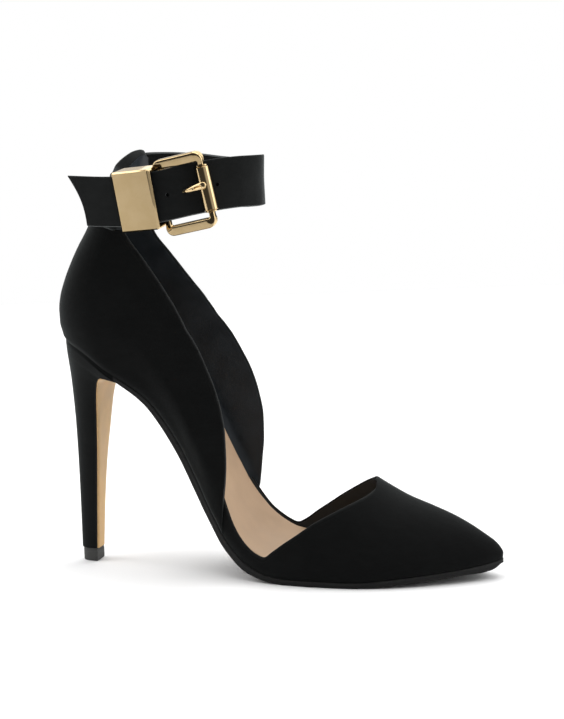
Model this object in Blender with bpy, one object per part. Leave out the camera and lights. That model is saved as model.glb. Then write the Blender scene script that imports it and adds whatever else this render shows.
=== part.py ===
# Pointed-toe high heel with cut-away sides and a wide buckled ankle strap: a right shoe on its sole.
# Toe along +X, inner side of the foot along +Y, floor at Z = 0. Sizes are in millimetres.
import math

import bmesh
import bpy
import numpy as np
from mathutils import Matrix

MM = 0.001
GAP = 0.3               # clearance between pieces that meet
WALL = 1.8              # suede and lining of the upper
OVERLAY = 0.7           # step where the quarter lies over the tail of the vamp
TUCK = 1.2              # how far the wall swells out over the sole line
TUCK_HEIGHT = 7.0
HEEL_ROUND_END = 28.0   # the round of the heel seat ends here
HEEL_POWER = 2.2        # squareness of the heel's round
VAMP_POWER = 1.12       # above 1 the vamp is more peaked than an ellipse
WALL_ROWS = 12
WALL_EASE = 28.0        # height over which the quarter takes its own width
STRAP_WIDTH = 25.0
STRAP_THICK = 2.4
STRAP_STRIPS = 5        # facets across the strap's width, which follow its twist
LOOP_WALL = 1.3
LOOP_CLEAR = 0.4        # the loop is a little loose on the strap
TAB_CLEAR = 1.6         # the tab ends this far under the loop
HEEL_TIP = 6.8          # height of the top lift
OUTSOLE_PROUD = 0.4
OUTSOLE_BACK = 34.2
OUTSOLE_ARCH = 1.15     # more thickness along the arch, up to ARCH_END
ARCH_END = 98.0
ARCH_EASE = 20.0
INSOLE_TOE = 212.0
INSOLE_THICK = 4.6      # at heel and toe
INSOLE_PAD = 2.4        # more at the waist, between PAD_START and PAD_END
PAD_START = 40.0
PAD_RISE = 30.0
PAD_END = 125.0
PAD_FALL = 35.0
ARCH_RISE = 3.0         # raised edge along the inner arch
EDGE_RISE = 0.7


def table(names, rows):
    columns = np.array(rows, float).T
    return dict(zip(names.split(), columns))


# Sole: height under the outsole, its thickness and the half widths of the sole line.
SOLE = table("x under thick lateral medial", (
    (1.3, 118.2, 1.0, 21.5, 21.5),
    (14.8, 112.9, 1.0, 21.5, 21.5),
    (28.0, 103.7, 1.0, 21.5, 21.5),
    (36.3, 98.1, 1.3, 21.3, 21.0),
    (43.6, 93.0, 1.6, 21.0, 20.2),
    (49.7, 87.6, 1.8, 20.8, 19.4),
    (55.7, 79.9, 2.0, 20.6, 18.7),
    (65.6, 63.5, 2.3, 20.5, 17.9),
    (74.7, 44.4, 2.5, 21.2, 18.1),
    (78.9, 35.5, 2.6, 22.0, 18.7),
    (84.4, 25.5, 2.6, 23.8, 20.1),
    (88.7, 18.4, 2.7, 25.2, 21.6),
    (94.3, 11.8, 2.7, 26.9, 23.6),
    (99.6, 7.1, 2.8, 28.4, 25.4),
    (106.2, 3.4, 2.9, 30.0, 27.6),
    (113.0, 1.1, 2.9, 31.4, 29.8),
    (123.0, 0.0, 3.0, 33.1, 32.6),
    (138.0, 0.0, 3.0, 34.2, 34.4),
    (150.0, 0.0, 3.0, 34.2, 34.8),
    (158.0, 0.0, 3.0, 33.6, 34.1),
    (166.5, 0.5, 3.0, 32.4, 32.3),
    (180.8, 1.7, 3.0, 28.4, 27.2),
    (194.5, 2.8, 3.0, 22.6, 20.8),
    (207.7, 3.9, 3.0, 15.6, 13.8),
    (218.0, 5.0, 3.0, 8.7, 7.8),
    (222.0, 5.6, 3.0, 5.4, 5.0),
    (224.2, 6.0, 3.0, 3.4, 3.3),
    (225.3, 6.3, 3.0, 2.2, 2.2),
    (225.9, 6.5, 3.0, 1.0, 1.0),
    (226.1, 6.6, 3.0, 0.0, 0.0),
))

# Ridge of the vamp, and behind the throat the instep that its walls aim at.
RIDGE = table("x z y", (
    (84.0, 115.0, 4.0),
    (113.0, 88.0, 4.0),
    (136.0, 66.0, 4.0),
    (152.0, 54.2, 4.0),
    (162.0, 47.4, 4.0),
    (169.0, 43.4, 3.7),
    (178.0, 38.9, 3.2),
    (189.4, 34.8, 2.5),
    (200.7, 30.5, 1.7),
    (210.7, 25.5, 1.0),
    (218.0, 20.9, 0.5),
    (222.0, 18.0, 0.2),
    (225.3, 14.1, 0.0),
    (226.1, 12.6, 0.0),
))

# Back seam of the quarter at the centre line.
BACK = table("z x", (
    (116.5, 2.0),
    (121.5, 1.3),
    (127.0, 0.2),
    (133.0, 0.2),
    (140.0, 1.2),
    (148.0, 3.8),
    (157.0, 7.8),
    (165.5, 12.3),
    (173.5, 17.2),
    (181.0, 21.2),
))

# Quarter: half width of its walls and depth of its round back, by height.
QUARTER = table("z half round", (
    (20.0, 25.0, 26.0),
    (45.0, 26.0, 26.0),
    (62.0, 26.2, 26.0),
    (90.0, 25.2, 26.0),
    (105.0, 24.6, 26.0),
    (120.0, 24.0, 26.2),
    (135.0, 22.4, 24.5),
    (150.0, 20.4, 20.5),
    (165.0, 20.0, 18.5),
    (180.0, 20.8, 17.5),
))

# Top line of the vamp and the waist bands: each section's foot on the sole line and its top end.
# The first row of each side ends on the ridge, at the front of the throat.
VAMP_TOP = {
    -1: table("foot x z", (
        (166.4, 163.4, 46.0), (164.8, 163.9, 43.7), (161.5, 161.3, 41.5), (157.0, 157.0, 39.7),
        (151.0, 151.0, 37.2), (144.2, 144.2, 34.0), (137.0, 137.0, 30.1), (129.5, 129.5, 25.0),
        (122.0, 122.0, 20.0), (116.5, 116.5, 16.0), (111.8, 111.8, 12.9), (107.2, 107.2, 14.4),
        (102.6, 102.6, 17.8), (98.2, 98.2, 22.9), (94.6, 94.9, 29.0), (91.9, 92.2, 36.4),
        (89.4, 91.0, 41.7))),
    1: table("foot x z", (
        (166.4, 161.7, 46.7), (164.0, 160.6, 45.5), (160.5, 158.7, 44.6), (155.5, 154.8, 42.4),
        (150.0, 149.5, 39.3), (144.2, 144.2, 36.0), (137.0, 137.0, 31.5), (129.5, 129.5, 26.4),
        (122.0, 122.0, 21.4), (116.5, 116.5, 17.5), (112.6, 112.6, 15.8), (108.5, 108.5, 17.8),
        (104.5, 104.5, 21.0), (100.2, 100.2, 25.3), (96.3, 96.8, 30.2), (92.6, 94.4, 34.0),
        (89.4, 93.7, 35.7))),
}
RIDGE_STATIONS = (226.1, 225.9, 225.3, 224.2, 222.0, 218.0, 213.0, 207.0, 200.0, 192.0, 184.0,
                  176.5, 171.0)
THROAT_END_FOOT = 167.6
THROAT_END = 162.3

# Front edge of the quarter, from the notch over the band up to the corner of the tab.
QUARTER_EDGE = {
    -1: table("foot x z", (
        (89.0, 91.0, 42.3), (87.0, 92.2, 51.0), (84.6, 92.8, 61.0), (82.0, 92.6, 73.0),
        (79.0, 91.0, 85.0), (75.4, 87.9, 96.5), (71.2, 83.4, 108.0), (66.0, 77.1, 121.0),
        (59.5, 69.8, 133.5), (52.5, 61.6, 146.0), (49.2, 57.4, 152.2), (45.5, 52.6, 158.9),
        (39.5, 45.0, 169.3), (34.5, 41.3, 174.6), (31.0, 38.4, 175.0))),
    1: table("foot x z", (
        (89.0, 93.4, 36.4), (87.2, 94.9, 50.0), (84.8, 96.1, 61.0), (82.1, 96.3, 73.0),
        (79.1, 94.5, 85.5), (75.5, 91.2, 97.0), (71.3, 85.8, 108.5), (66.0, 78.3, 121.0),
        (59.5, 69.7, 133.5), (52.5, 60.7, 146.0), (49.2, 56.4, 151.8), (45.5, 51.4, 158.1),
        (39.5, 43.5, 168.2), (34.5, 40.2, 175.8), (31.0, 38.6, 181.0))),
}
HEEL_ANGLES = (90.0, 74.0, 58.0, 43.0, 28.0, 14.0)

# Stiletto: rings from the tip to the seat, each from its back to its front.
HEEL = table("back_x back_z front_x front_z half", (
    (3.6, 7.1, 12.9, 7.1, 4.9),
    (3.9, 33.0, 14.6, 33.0, 5.9),
    (4.05, 54.0, 16.3, 54.0, 7.5),
    (4.0, 72.0, 18.0, 71.0, 9.9),
    (3.55, 89.0, 19.6, 87.0, 12.8),
    (3.05, 99.0, 20.8, 93.5, 14.7),
    (2.5, 105.5, 22.2, 97.6, 16.4),
    (1.9, 111.5, 24.8, 99.6, 18.2),
    (1.5, 117.0, 33.7, 98.2, 21.0),
    (1.9, 119.2, 33.9, 98.1, 20.8),
))

# Ankle strap: its middle line in plan, its top edge and its lean towards the foot. It starts at the
# buckle's bar, goes round the back and the front of the ankle and ends in the tail.
STRAP = table("x y top lean", (
    (65.6, -28.8, 205.3, 0.0),
    (55.0, -27.1, 203.7, 0.0),
    (45.0, -24.6, 202.5, 3.0),
    (36.8, -19.9, 201.6, 14.0),
    (31.0, -12.0, 201.4, 27.0),
    (28.8, 0.0, 203.8, 30.0),
    (32.6, 12.2, 208.2, 28.0),
    (38.8, 20.2, 210.0, 15.0),
    (51.0, 26.3, 209.8, 4.0),
    (66.0, 28.2, 208.8, 0.0),
    (80.0, 24.6, 207.6, 0.0),
    (92.5, 16.0, 207.6, 0.0),
    (103.0, 6.0, 209.0, 0.0),
    (109.2, -2.6, 210.4, 0.0),
    (110.3, -9.0, 211.0, 0.0),
    (107.4, -15.6, 211.3, 1.0),
    (101.4, -21.6, 211.3, 3.0),
    (92.0, -27.4, 210.4, 5.0),
    (80.0, -31.0, 208.4, 4.0),
    (67.5, -32.3, 205.8, 1.2),
    (54.0, -30.8, 203.6, 0.0),
    (37.4, -28.4, 202.7, 0.0),
    (13.6, -24.2, 203.1, 0.0),
))
STRAP_STEP = 1 / 3              # rows between two rings of the strap and of its loop
LOOP_STEPS = (8, 21)           # the loop covers the strap between these rings
TAIL_ROW = 20                   # from here on the rings slant towards the tail's end
TAIL_END = 21.90                # row of the tail's top corner
TAIL_CUT = 0.42                 # its bottom corner ends this many rows earlier
TAIL_HOLLOW = 0.06              # depth of the hollow in the tail's end, in rows
# Holes of the strap: row, half length and half height. The prong comes through the second.
HOLES = ((16.8, 1.4, 1.4), (18.0, 3.2, 2.1), (18.75, 1.4, 1.4))

# Buckle: the bar at its back lies inside the strap, the roller at its front outside it.
BAR_CENTRE = np.array((68.2, -29.0, 192.1))
ROLLER_CENTRE = np.array((90.7, -32.6, 196.9))
FRAME_HALF = 16.8               # half height, to the middle of the upper and lower sides
FRAME_CORNER = 4.0
SIDE_RADIUS = 2.0
BAR_RADIUS = 1.4
ROLLER_RADIUS = 3.0
COLLAR_RADIUS = 2.6
ROLLER_BORE = 1.75
ROLLER_HALF = 11.6
# Prong: from the bar, under the strap, through its hole and on to the roller.
PRONG = table("along out rise width thick", (
    (-9.8, -0.2, 0.6, 2.2, 1.4),
    (-6.0, -0.7, 0.7, 2.2, 1.4),
    (-1.7, -1.5, 0.9, 2.2, 1.4),
    (1.2, 0.05, 1.0, 2.2, 1.4),
    (4.2, 1.7, 1.1, 2.4, 1.5),
    (7.5, 3.2, 1.35, 2.6, 1.7),
    (10.4, 4.1, 1.6, 3.0, 1.9),
    (12.4, 4.45, 1.75, 3.2, 2.0),
    (14.6, 4.3, 1.9, 2.4, 1.8),
))

# Keeper: flat tube round both layers of the strap.
KEEPER_CENTRE = np.array((54.3, -28.6, 191.2))
KEEPER_ALONG = np.array((1.0, -0.19, 0.1))
KEEPER_LENGTH = 20.8
KEEPER_HEIGHT = 29.0
KEEPER_DEPTH = 12.6
KEEPER_WALL = 1.1
KEEPER_BEVEL = 0.9


def smooth_through(xs, ys, at):
    """Monotone cubic curve through the rows of a table, level beyond its ends."""
    at = np.clip(np.asarray(at, float), xs[0], xs[-1])
    step = np.diff(xs)
    slope = np.diff(ys) / step
    lean = np.concatenate((slope[:1], np.zeros(len(xs) - 2), slope[-1:]))
    same_way = slope[:-1] * slope[1:] > 0
    both = np.where(same_way, slope[:-1] + slope[1:], 1.0)
    lean[1:-1] = np.where(same_way, 2 * slope[:-1] * slope[1:] / both, 0.0)
    i = np.clip(np.searchsorted(xs, at, side="right") - 1, 0, len(step) - 1)
    t = (at - xs[i]) / step[i]
    rise = ys[i] * (2 * t**3 - 3 * t**2 + 1) + ys[i + 1] * (3 * t**2 - 2 * t**3)
    return rise + step[i] * (lean[i] * (t**3 - 2 * t**2 + t) + lean[i + 1] * (t**3 - t**2))


def curve_through(points, at):
    """Catmull-Rom curve through points, read at row numbers with fractions."""
    points = np.asarray(points, float)
    padded = np.vstack((2 * points[0] - points[1], points, 2 * points[-1] - points[-2]))
    at = np.clip(np.asarray(at, float), 0, len(points) - 1)
    i = np.minimum(at.astype(int), len(points) - 2)
    t = (at - i)[..., None]
    p0, p1, p2, p3 = (padded[i + k] for k in range(4))
    bend = (2 * p0 - 5 * p1 + 4 * p2 - p3) * t**2 + (3 * p1 - p0 - 3 * p2 + p3) * t**3
    return 0.5 * (2 * p1 + (p2 - p0) * t + bend)


def ease(t):
    t = np.clip(t, 0.0, 1.0)
    return t * t * (3 - 2 * t)


def under(x):
    return smooth_through(SOLE["x"], SOLE["under"], x)


def steepness(x):
    """Length of sole line per length along X."""
    return np.hypot(1.0, (under(x + 0.5) - under(x - 0.5)))


def feather(x):
    """Height of the sole line: the outsole's top and a clearance."""
    return under(x) + smooth_through(SOLE["x"], SOLE["thick"], x) * steepness(x) + GAP


def half_width(x, side):
    return smooth_through(SOLE["x"], SOLE["lateral" if side < 0 else "medial"], x)


def ridge(x):
    return smooth_through(RIDGE["x"], RIDGE["z"], x)


def swell(height):
    """The wall stands out over the sole line within TUCK_HEIGHT."""
    t = np.clip(height / TUCK_HEIGHT, 0.0, 1.0)
    return TUCK * (1 - (1 - t)**2)


def plan_offset(x, side, inset):
    """Point of the sole line at x, moved inwards in plan."""
    reach = 0.2
    slope = (half_width(x + reach, side) - half_width(x - reach, side)) / (2 * reach)
    tip = x >= SOLE["x"][-1]
    across = 0.0 if tip else 1 / math.hypot(1, slope)
    along = 1.0 if tip else -slope / math.hypot(1, slope)
    return x - inset * along, max(half_width(x, side) - inset * across, 0.0)


def vamp_section(foot, top_x, top_z, side, inset):
    """Column of the vamp or band: an arch from the sole line to top_z, or to the ridge if top_z is None."""
    v = np.linspace(0, 1, WALL_ROWS)
    x_foot, half = plan_offset(foot, side, inset)
    shift = x_foot - foot
    ridge_shift = 0.5 * (shift + plan_offset(foot, -side, inset)[0] - foot)
    x = foot + (top_x - foot) * v**2 + shift + (ridge_shift - shift) * v**2
    foot_z = feather(x)
    crown = ridge(x) - inset * np.hypot(1, (ridge(x + 0.5) - ridge(x - 0.5)))
    end_height = 1.0 if top_z is None else min((top_z - foot_z[-1]) / (crown[-1] - foot_z[-1]), 1.0)
    turn = math.asin(end_height) * v
    z = foot_z + (crown - foot_z) * np.sin(turn)
    ridge_y = smooth_through(RIDGE["x"], RIDGE["y"], x)
    reach = half + half_width(x, side) - half_width(x_foot, side) + swell(z - foot_z)
    reach = np.maximum(reach, 0.0) * (half > 0)
    y = ridge_y + (side * reach - ridge_y) * np.cos(turn)**VAMP_POWER
    return np.stack((x, y, z), axis=1)


def quarter_half(x, z, side):
    """Half width of the quarter: from the sole line out to the wall's own width."""
    height = z - feather(x)
    foot = half_width(x, side)
    wall = smooth_through(QUARTER["z"], QUARTER["half"], z)
    return foot + (wall - foot) * ease(height / WALL_EASE) + swell(height)


def quarter_section(angle, ahead_foot, ahead_top, foot_z, top_z, side, inset):
    """Column of the quarter, at an angle of its round back and a length ahead of it."""
    v = np.linspace(0, 1, WALL_ROWS)
    z = foot_z + (top_z - foot_z) * v
    depth = smooth_through(QUARTER["z"], QUARTER["round"], z)
    back = smooth_through(BACK["z"], BACK["x"], z)
    cos = math.cos(math.radians(angle))**(2 / HEEL_POWER) if angle < 90 else 0.0
    sin = math.sin(math.radians(angle))**(2 / HEEL_POWER)
    outside = OVERLAY if inset == 0 else 0.0
    ahead = ahead_foot + (ahead_top - ahead_foot) * v
    x = back + depth - (depth - inset + outside) * cos + ahead
    y = side * (quarter_half(x, z, side) - inset + outside) * sin
    return np.stack((x, y, z), axis=1)


def tab_top(y):
    """Top of the back tab: just under the strap's loop."""
    rows = np.arange(LOOP_STEPS[0], LOOP_STEPS[1] + 1) * STRAP_STEP
    centre, _, up, _ = strap_frame(rows)
    bottom = centre - up * (0.5 * STRAP_WIDTH + LOOP_CLEAR + LOOP_WALL)
    return np.interp(y, bottom[:, 1], bottom[:, 2]) - TAB_CLEAR


def edge_column(foot, top_x, top_z, side, inset):
    top_z = min(top_z, tab_top(side * QUARTER["half"][-1]))
    depth = smooth_through(QUARTER["z"], QUARTER["round"], top_z)
    ahead_top = top_x - smooth_through(BACK["z"], BACK["x"], top_z) - depth
    return quarter_section(90.0, foot - HEEL_ROUND_END, ahead_top, feather(foot), top_z, side, inset)


def heel_column(angle, side, inset):
    """Column round the back of the heel, up to the tab."""
    cos = math.cos(math.radians(angle))**(2 / HEEL_POWER) if angle < 90 else 0.0
    sin = math.sin(math.radians(angle))**(2 / HEEL_POWER)
    foot_x = HEEL_ROUND_END - (HEEL_ROUND_END - BACK["x"][0]) * cos
    top_z = tab_top(side * QUARTER["half"][-1] * sin)
    return quarter_section(angle, 0.0, 0.0, feather(foot_x), top_z, side, inset)


def upper_half(side, inset):
    """Columns of one side of the upper, from the toe to the back."""
    columns = [vamp_section(x, x, None, side, inset) for x in RIDGE_STATIONS]
    columns.append(vamp_section(THROAT_END_FOOT, THROAT_END, None, side, inset))
    top = VAMP_TOP[side]
    columns += [vamp_section(*row, side, inset) for row in zip(top["foot"], top["x"], top["z"])]
    edge = QUARTER_EDGE[side]
    columns += [edge_column(*row, side, inset) for row in zip(edge["foot"], edge["x"], edge["z"])]
    columns += [heel_column(angle, side, inset) for angle in HEEL_ANGLES]
    return columns


def upper_skin(inset):
    """All columns: outer side of the foot, back, inner side."""
    lateral = upper_half(-1, inset)
    medial = upper_half(1, inset)
    return np.array(lateral + [heel_column(0.0, 1, inset)] + medial[::-1])


def grid_faces(columns, rows, start=0):
    faces = []
    for i in range(columns - 1):
        for j in range(rows - 1):
            a = start + i * rows + j
            faces.append((a, a + rows, a + rows + 1, a + 1))
    return faces


def new_material(name, colour, roughness, metallic=0.0):
    material = bpy.data.materials.new(name)
    material.use_nodes = True
    shader = material.node_tree.nodes["Principled BSDF"]
    shader.inputs["Base Color"].default_value = (*colour, 1.0)
    shader.inputs["Roughness"].default_value = roughness
    shader.inputs["Metallic"].default_value = metallic
    return material


def suede(name):
    return new_material(name, (0.012, 0.012, 0.013), 0.9)


def gold(name):
    return new_material(name, (0.83, 0.62, 0.30), 0.2, 1.0)


def new_piece(name, points, faces, material):
    """Closed solid from points in millimetres, its doubled points merged and its faces turned out."""
    mesh = bpy.data.meshes.new(name)
    body = bmesh.new()
    verts = [body.verts.new(np.asarray(p) * MM) for p in points]
    for face in faces:
        if len(set(face)) > 2:
            body.faces.new([verts[i] for i in face])
    bmesh.ops.remove_doubles(body, verts=body.verts, dist=1e-6)
    bmesh.ops.dissolve_degenerate(body, edges=body.edges, dist=1e-6)
    bmesh.ops.recalc_face_normals(body, faces=body.faces)
    body.to_mesh(mesh)
    body.free()
    mesh.materials.append(material)
    mesh.shade_smooth()
    mesh.set_sharp_from_angle(angle=math.radians(40))
    piece = bpy.data.objects.new(name, mesh)
    bpy.context.collection.objects.link(piece)
    return piece


def lofted(name, rings, material):
    """Solid through rings of equal length, each end capped with strips between the halves of its ring."""
    rings = np.asarray(rings, float)
    count, size = rings.shape[:2]
    faces = []
    for i in range(count - 1):
        for k in range(size):
            a = i * size + k
            b = i * size + (k + 1) % size
            faces.append((a, b, b + size, a + size))
    for first in (0, (count - 1) * size):
        for k in range((size - 1) // 2):
            strip = (k, k + 1, size - 2 - k, size - 1 - k)
            faces.append([first + corner for corner in dict.fromkeys(strip)])
    return new_piece(name, rings.reshape(-1, 3), faces, material)


def make_upper(material):
    outer = upper_skin(0.0)
    inner = upper_skin(WALL)
    columns, rows = outer.shape[:2]
    inside = columns * rows
    faces = grid_faces(columns, rows)
    faces += [face[::-1] for face in grid_faces(columns, rows, inside)]
    first_open = len(RIDGE_STATIONS)
    for i in range(columns - 1):
        a = i * rows
        b = a + rows
        faces.append((a, a + inside, b + inside, b))
        if first_open <= i < columns - 1 - first_open:
            top = rows - 1
            faces.append((a + top, b + top, b + top + inside, a + top + inside))
    points = np.concatenate((outer.reshape(-1, 3), inner.reshape(-1, 3)))
    return new_piece("upper", points, faces, material)


def sole_stations(first, last):
    """Sections of outsole and insole: close together in the arch and at the toe."""
    arch = np.arange(34.0, 124.0, 4.0)
    front = np.arange(128.0, 216.0, 7.5)
    stations = np.concatenate(([first], arch, front, SOLE["x"][-6:], [last]))
    return np.unique(stations[(stations >= first) & (stations <= last)])


def make_outsole(material):
    """Thin sole: a proud top lip, a step below it and a bevel down to the tread."""
    lip, groove, step, bevel = 0.45, 0.1, 0.5, 0.9
    rings = []
    for x in sole_stations(OUTSOLE_BACK, SOLE["x"][-1]):
        ring = []
        for side in (-1, 1):
            moved, half = plan_offset(x, side, -OUTSOLE_PROUD)
            half = max(half, OUTSOLE_PROUD)
            moved = max(moved, OUTSOLE_BACK)
            top = feather(moved) - GAP
            arch = OUTSOLE_ARCH * (1 - ease((moved - ARCH_END) / ARCH_EASE))
            thick = top - under(moved) + arch * steepness(moved)
            tuck = min(step, half * 0.3)
            reach = (half, half, half - tuck, half - tuck - min(bevel, half * 0.3))
            level = (top, top - thick * lip, top - thick * (lip + groove), top - thick)
            edge = [(moved, side * r, z) for r, z in zip(reach, level)]
            ring += edge if side > 0 else edge[::-1]
        rings.append(ring)
    return lofted("outsole", rings, material)


def insole_edge(x, side):
    """Edge of the insole at a section: its place in plan, clear of the upper's wall, and its two heights."""
    inset = WALL + GAP
    moved, half = plan_offset(x, side, inset)
    if x < HEEL_ROUND_END:
        depth = HEEL_ROUND_END - BACK["x"][0]
        cos = (HEEL_ROUND_END - x) / depth
        half = (half_width(x, side) - inset) * (1 - cos**HEEL_POWER)**(1 / HEEL_POWER)
        moved = HEEL_ROUND_END - (depth - inset) * cos
    waist = ease((x - PAD_START) / PAD_RISE) * (1 - ease((x - PAD_END) / PAD_FALL))
    middle = INSOLE_THICK + INSOLE_PAD * waist
    edge = middle + (ARCH_RISE if side > 0 else EDGE_RISE) * waist
    return moved, half, middle * steepness(moved), edge * steepness(moved)


def make_insole(material):
    """Padded insole: its edges follow the wall, and it is raised along the inner arch."""
    across = {-1: (-1.0, -0.75, -0.5, -0.25), 1: (0.25, 0.5, 0.75, 1.0)}
    depth = HEEL_ROUND_END - BACK["x"][0]
    turns = np.radians((12, 26, 40, 52, 62, 71, 80))
    round_x = HEEL_ROUND_END - depth * np.cos(turns)**(2 / HEEL_POWER)
    rings = []
    for x in np.concatenate((round_x, sole_stations(HEEL_ROUND_END, INSOLE_TOE))):
        bottom, top = [], []
        for side in (-1, 1):
            moved, half, middle, edge = insole_edge(x, side)
            foot = feather(moved)
            for a in across[side]:
                bottom.append((moved, half * a, foot))
                top.append((moved, (half + 0.5 * swell(edge)) * a, foot + middle + (edge - middle) * a * a))
        rings.append(bottom + top[::-1])
    return lofted("insole", rings, material)


def heel_ring(level):
    """Ring of the heel: round at the back, flat in front, bent to the seat's curve towards the top."""
    back_x, back_z, front_x, front_z, half = (smooth_through(np.arange(len(HEEL["half"])), HEEL[name], level)
                                              for name in ("back_x", "back_z", "front_x", "front_z", "half"))
    turn = np.radians(np.linspace(-90, 90, 19))
    cos = np.cos(turn)**(2 / HEEL_POWER)
    along = 1 - cos
    x = back_x + (front_x - back_x) * along
    y = half * np.sign(turn) * np.abs(np.sin(turn))**(2 / HEEL_POWER)
    chord = back_z + (front_z - back_z) * along
    seat = feather(x) - GAP
    seat_chord = feather(back_x) + (feather(front_x) - feather(back_x)) * along - GAP
    bend = ease(level / (len(HEEL["half"]) - 1))**3
    z = chord + (seat - seat_chord) * bend
    if level >= len(HEEL["half"]) - 1:
        z = seat
    return np.stack((x, y, z), axis=1)


def make_heel(material):
    levels = np.concatenate((np.arange(0, 4, 1.0), np.arange(4, 9.01, 0.5)))
    return lofted("heel", [heel_ring(level) for level in levels], material)


def make_heel_breast(material):
    """Facing of the heel's flat front, from the outsole to the tip."""
    thick, margin = 0.9, 0.5
    levels = np.concatenate((np.arange(0, 4, 1.0), np.arange(4, 7.3, 0.4)))
    front = np.array([heel_ring(level)[-1] for level in levels])
    line = front[:, [0, 2]]
    lean = np.gradient(line, axis=0)
    lean /= np.linalg.norm(lean, axis=1)[:, None]
    out = np.stack((lean[:, 1], -lean[:, 0]), axis=1)
    rings = []
    for (x, z), (ox, oz), half in zip(line, out, front[:, 1] - margin):
        near = (x + ox * GAP, z + oz * GAP)
        far = (x + ox * (GAP + thick), z + oz * (GAP + thick))
        rings.append([(near[0], -half, near[1]), (near[0], half, near[1]),
                      (far[0], half - 0.2, far[1]), (far[0], 0.2 - half, far[1])])
    return lofted("heel_breast", rings, material)


def make_top_lift(material):
    base = heel_ring(0)
    middle = np.array((0.5 * (HEEL["back_x"][0] + HEEL["front_x"][0]), 0.0, 0.0))
    rings = []
    for z, scale in ((0.0, 0.88), (0.4, 0.93), (HEEL_TIP, 0.97)):
        ring = middle + (base - middle) * scale
        ring[:, 2] = z
        rings.append(ring)
    return lofted("top_lift", rings, material)


def strap_frame(row):
    """Middle of the strap at a row, with its tangent, its upward edge direction and its outward normal."""
    row = np.asarray(row, float)
    points = np.stack([STRAP[name] for name in ("x", "y", "top", "lean")], axis=1)
    place = curve_through(points, row)
    step = curve_through(points, row + 0.02) - curve_through(points, row - 0.02)
    flat = step[:, :2] / np.linalg.norm(step[:, :2], axis=1)[:, None]
    inward = np.stack((flat[:, 1], -flat[:, 0], np.zeros(len(row))), axis=1)
    lean = np.radians(place[:, 3])[:, None]
    tangent = step[:, :3] / np.linalg.norm(step[:, :3], axis=1)[:, None]
    up = np.array((0.0, 0.0, 1.0)) * np.cos(lean) + inward * np.sin(lean)
    up -= tangent * np.sum(up * tangent, axis=1)[:, None]
    up /= np.linalg.norm(up, axis=1)[:, None]
    out = np.cross(up, tangent)
    centre = place[:, :3].copy()
    centre[:, 2] -= 0.5 * STRAP_WIDTH * np.cos(lean[:, 0])
    return centre, tangent, up, out


def strap_outline(width, thick, corner):
    """Cross section as (height, depth) pairs: a flat strip with its corners taken off."""
    w, t = width / 2, thick / 2
    flank = np.linspace(corner - w, w - corner, STRAP_STRIPS + 1)
    return ([(-w, corner - t), (-w, t - corner)] + [(h, t) for h in flank]
            + [(w, t - corner), (w, corner - t)] + [(h, -t) for h in flank[::-1]])


def make_ankle_strap(material, cutters):
    """Strip through the rows of STRAP. The tail is cut on a slant that hollows towards its lower corner."""
    outline = strap_outline(STRAP_WIDTH, STRAP_THICK, 0.5)
    bend = np.arange(int(TAIL_ROW / STRAP_STEP) + 1) * STRAP_STEP
    rings = []
    for row in np.concatenate((bend, TAIL_ROW + np.array((0.3, 0.6, 0.8, 1.0)))):
        ring = []
        for height, depth in outline:
            low = 0.5 - height / STRAP_WIDTH
            end = TAIL_END - TAIL_CUT * low - TAIL_HOLLOW * math.sin(math.pi * low)
            at = row if row <= TAIL_ROW else TAIL_ROW + (row - TAIL_ROW) * (end - TAIL_ROW)
            centre, _, up, out = strap_frame([at])
            ring.append((centre + up * height + out * depth)[0])
        rings.append(ring)
    strap = lofted("ankle_strap", rings, material)
    for cutter in cutters:
        hole = strap.modifiers.new("hole", "BOOLEAN")
        hole.operation = "DIFFERENCE"
        hole.solver = "EXACT"
        hole.object = cutter
    return strap


def make_hole_cutters():
    """Round cutters for the strap's three holes. The prong's hole is the widest."""
    cutters = []
    for row, long, tall in HOLES:
        centre, tangent, up, out = (v[0] for v in strap_frame([row]))
        turn = np.radians(np.arange(0, 360, 30))
        round_edge = [tangent * math.cos(a) * long + up * math.sin(a) * tall for a in turn]
        rings = [[centre + out * depth + edge for edge in round_edge] for depth in (-4.0, 4.0)]
        cutter = lofted("strap_hole_cutter", rings, None)
        cutter.hide_render = True
        cutter.display_type = "WIRE"
        cutters.append(cutter)
    return cutters


def make_strap_loop(material):
    """Tunnel round the strap at the back: a flat tube along the strap's own rows."""
    clear = 2 * LOOP_CLEAR
    inner = strap_outline(STRAP_WIDTH + clear, STRAP_THICK + clear, 0.5)
    outer = strap_outline(STRAP_WIDTH + clear + 2 * LOOP_WALL, STRAP_THICK + clear + 2 * LOOP_WALL, 1.0)
    rows = np.arange(LOOP_STEPS[0], LOOP_STEPS[1] + 1) * STRAP_STEP
    centre, _, up, out = strap_frame(rows)
    points, faces = [], []
    for i in range(len(rows)):
        for outline in (outer, inner):
            points += [centre[i] + up[i] * h + out[i] * d for h, d in outline]
    size = len(inner)
    for i in range(len(rows) - 1):
        for k in range(size):
            j = (k + 1) % size
            a = 2 * size * i
            b = a + 2 * size
            faces.append((a + k, a + j, b + j, b + k))
            faces.append((a + size + j, a + size + k, b + size + k, b + size + j))
    for a in (0, 2 * size * (len(rows) - 1)):
        for k in range(size):
            j = (k + 1) % size
            faces.append((a + k, a + j, a + size + j, a + size + k))
    return new_piece("strap_loop", points, faces, material)


def level_axes(direction):
    """Unit vectors of a flat piece at the strap's outer side: along a direction, up and outwards."""
    along = direction / np.linalg.norm(direction)
    out = np.array((along[1], -along[0], 0.0)) / math.hypot(along[0], along[1])
    return along, np.cross(out, along), out


def buckle_axes():
    """Middle of the buckle, its directions and half the length from its bar to its roller."""
    along, up, out = level_axes(ROLLER_CENTRE - BAR_CENTRE)
    return 0.5 * (BAR_CENTRE + ROLLER_CENTRE), along, up, out, np.linalg.norm(ROLLER_CENTRE - BAR_CENTRE) / 2


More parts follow.
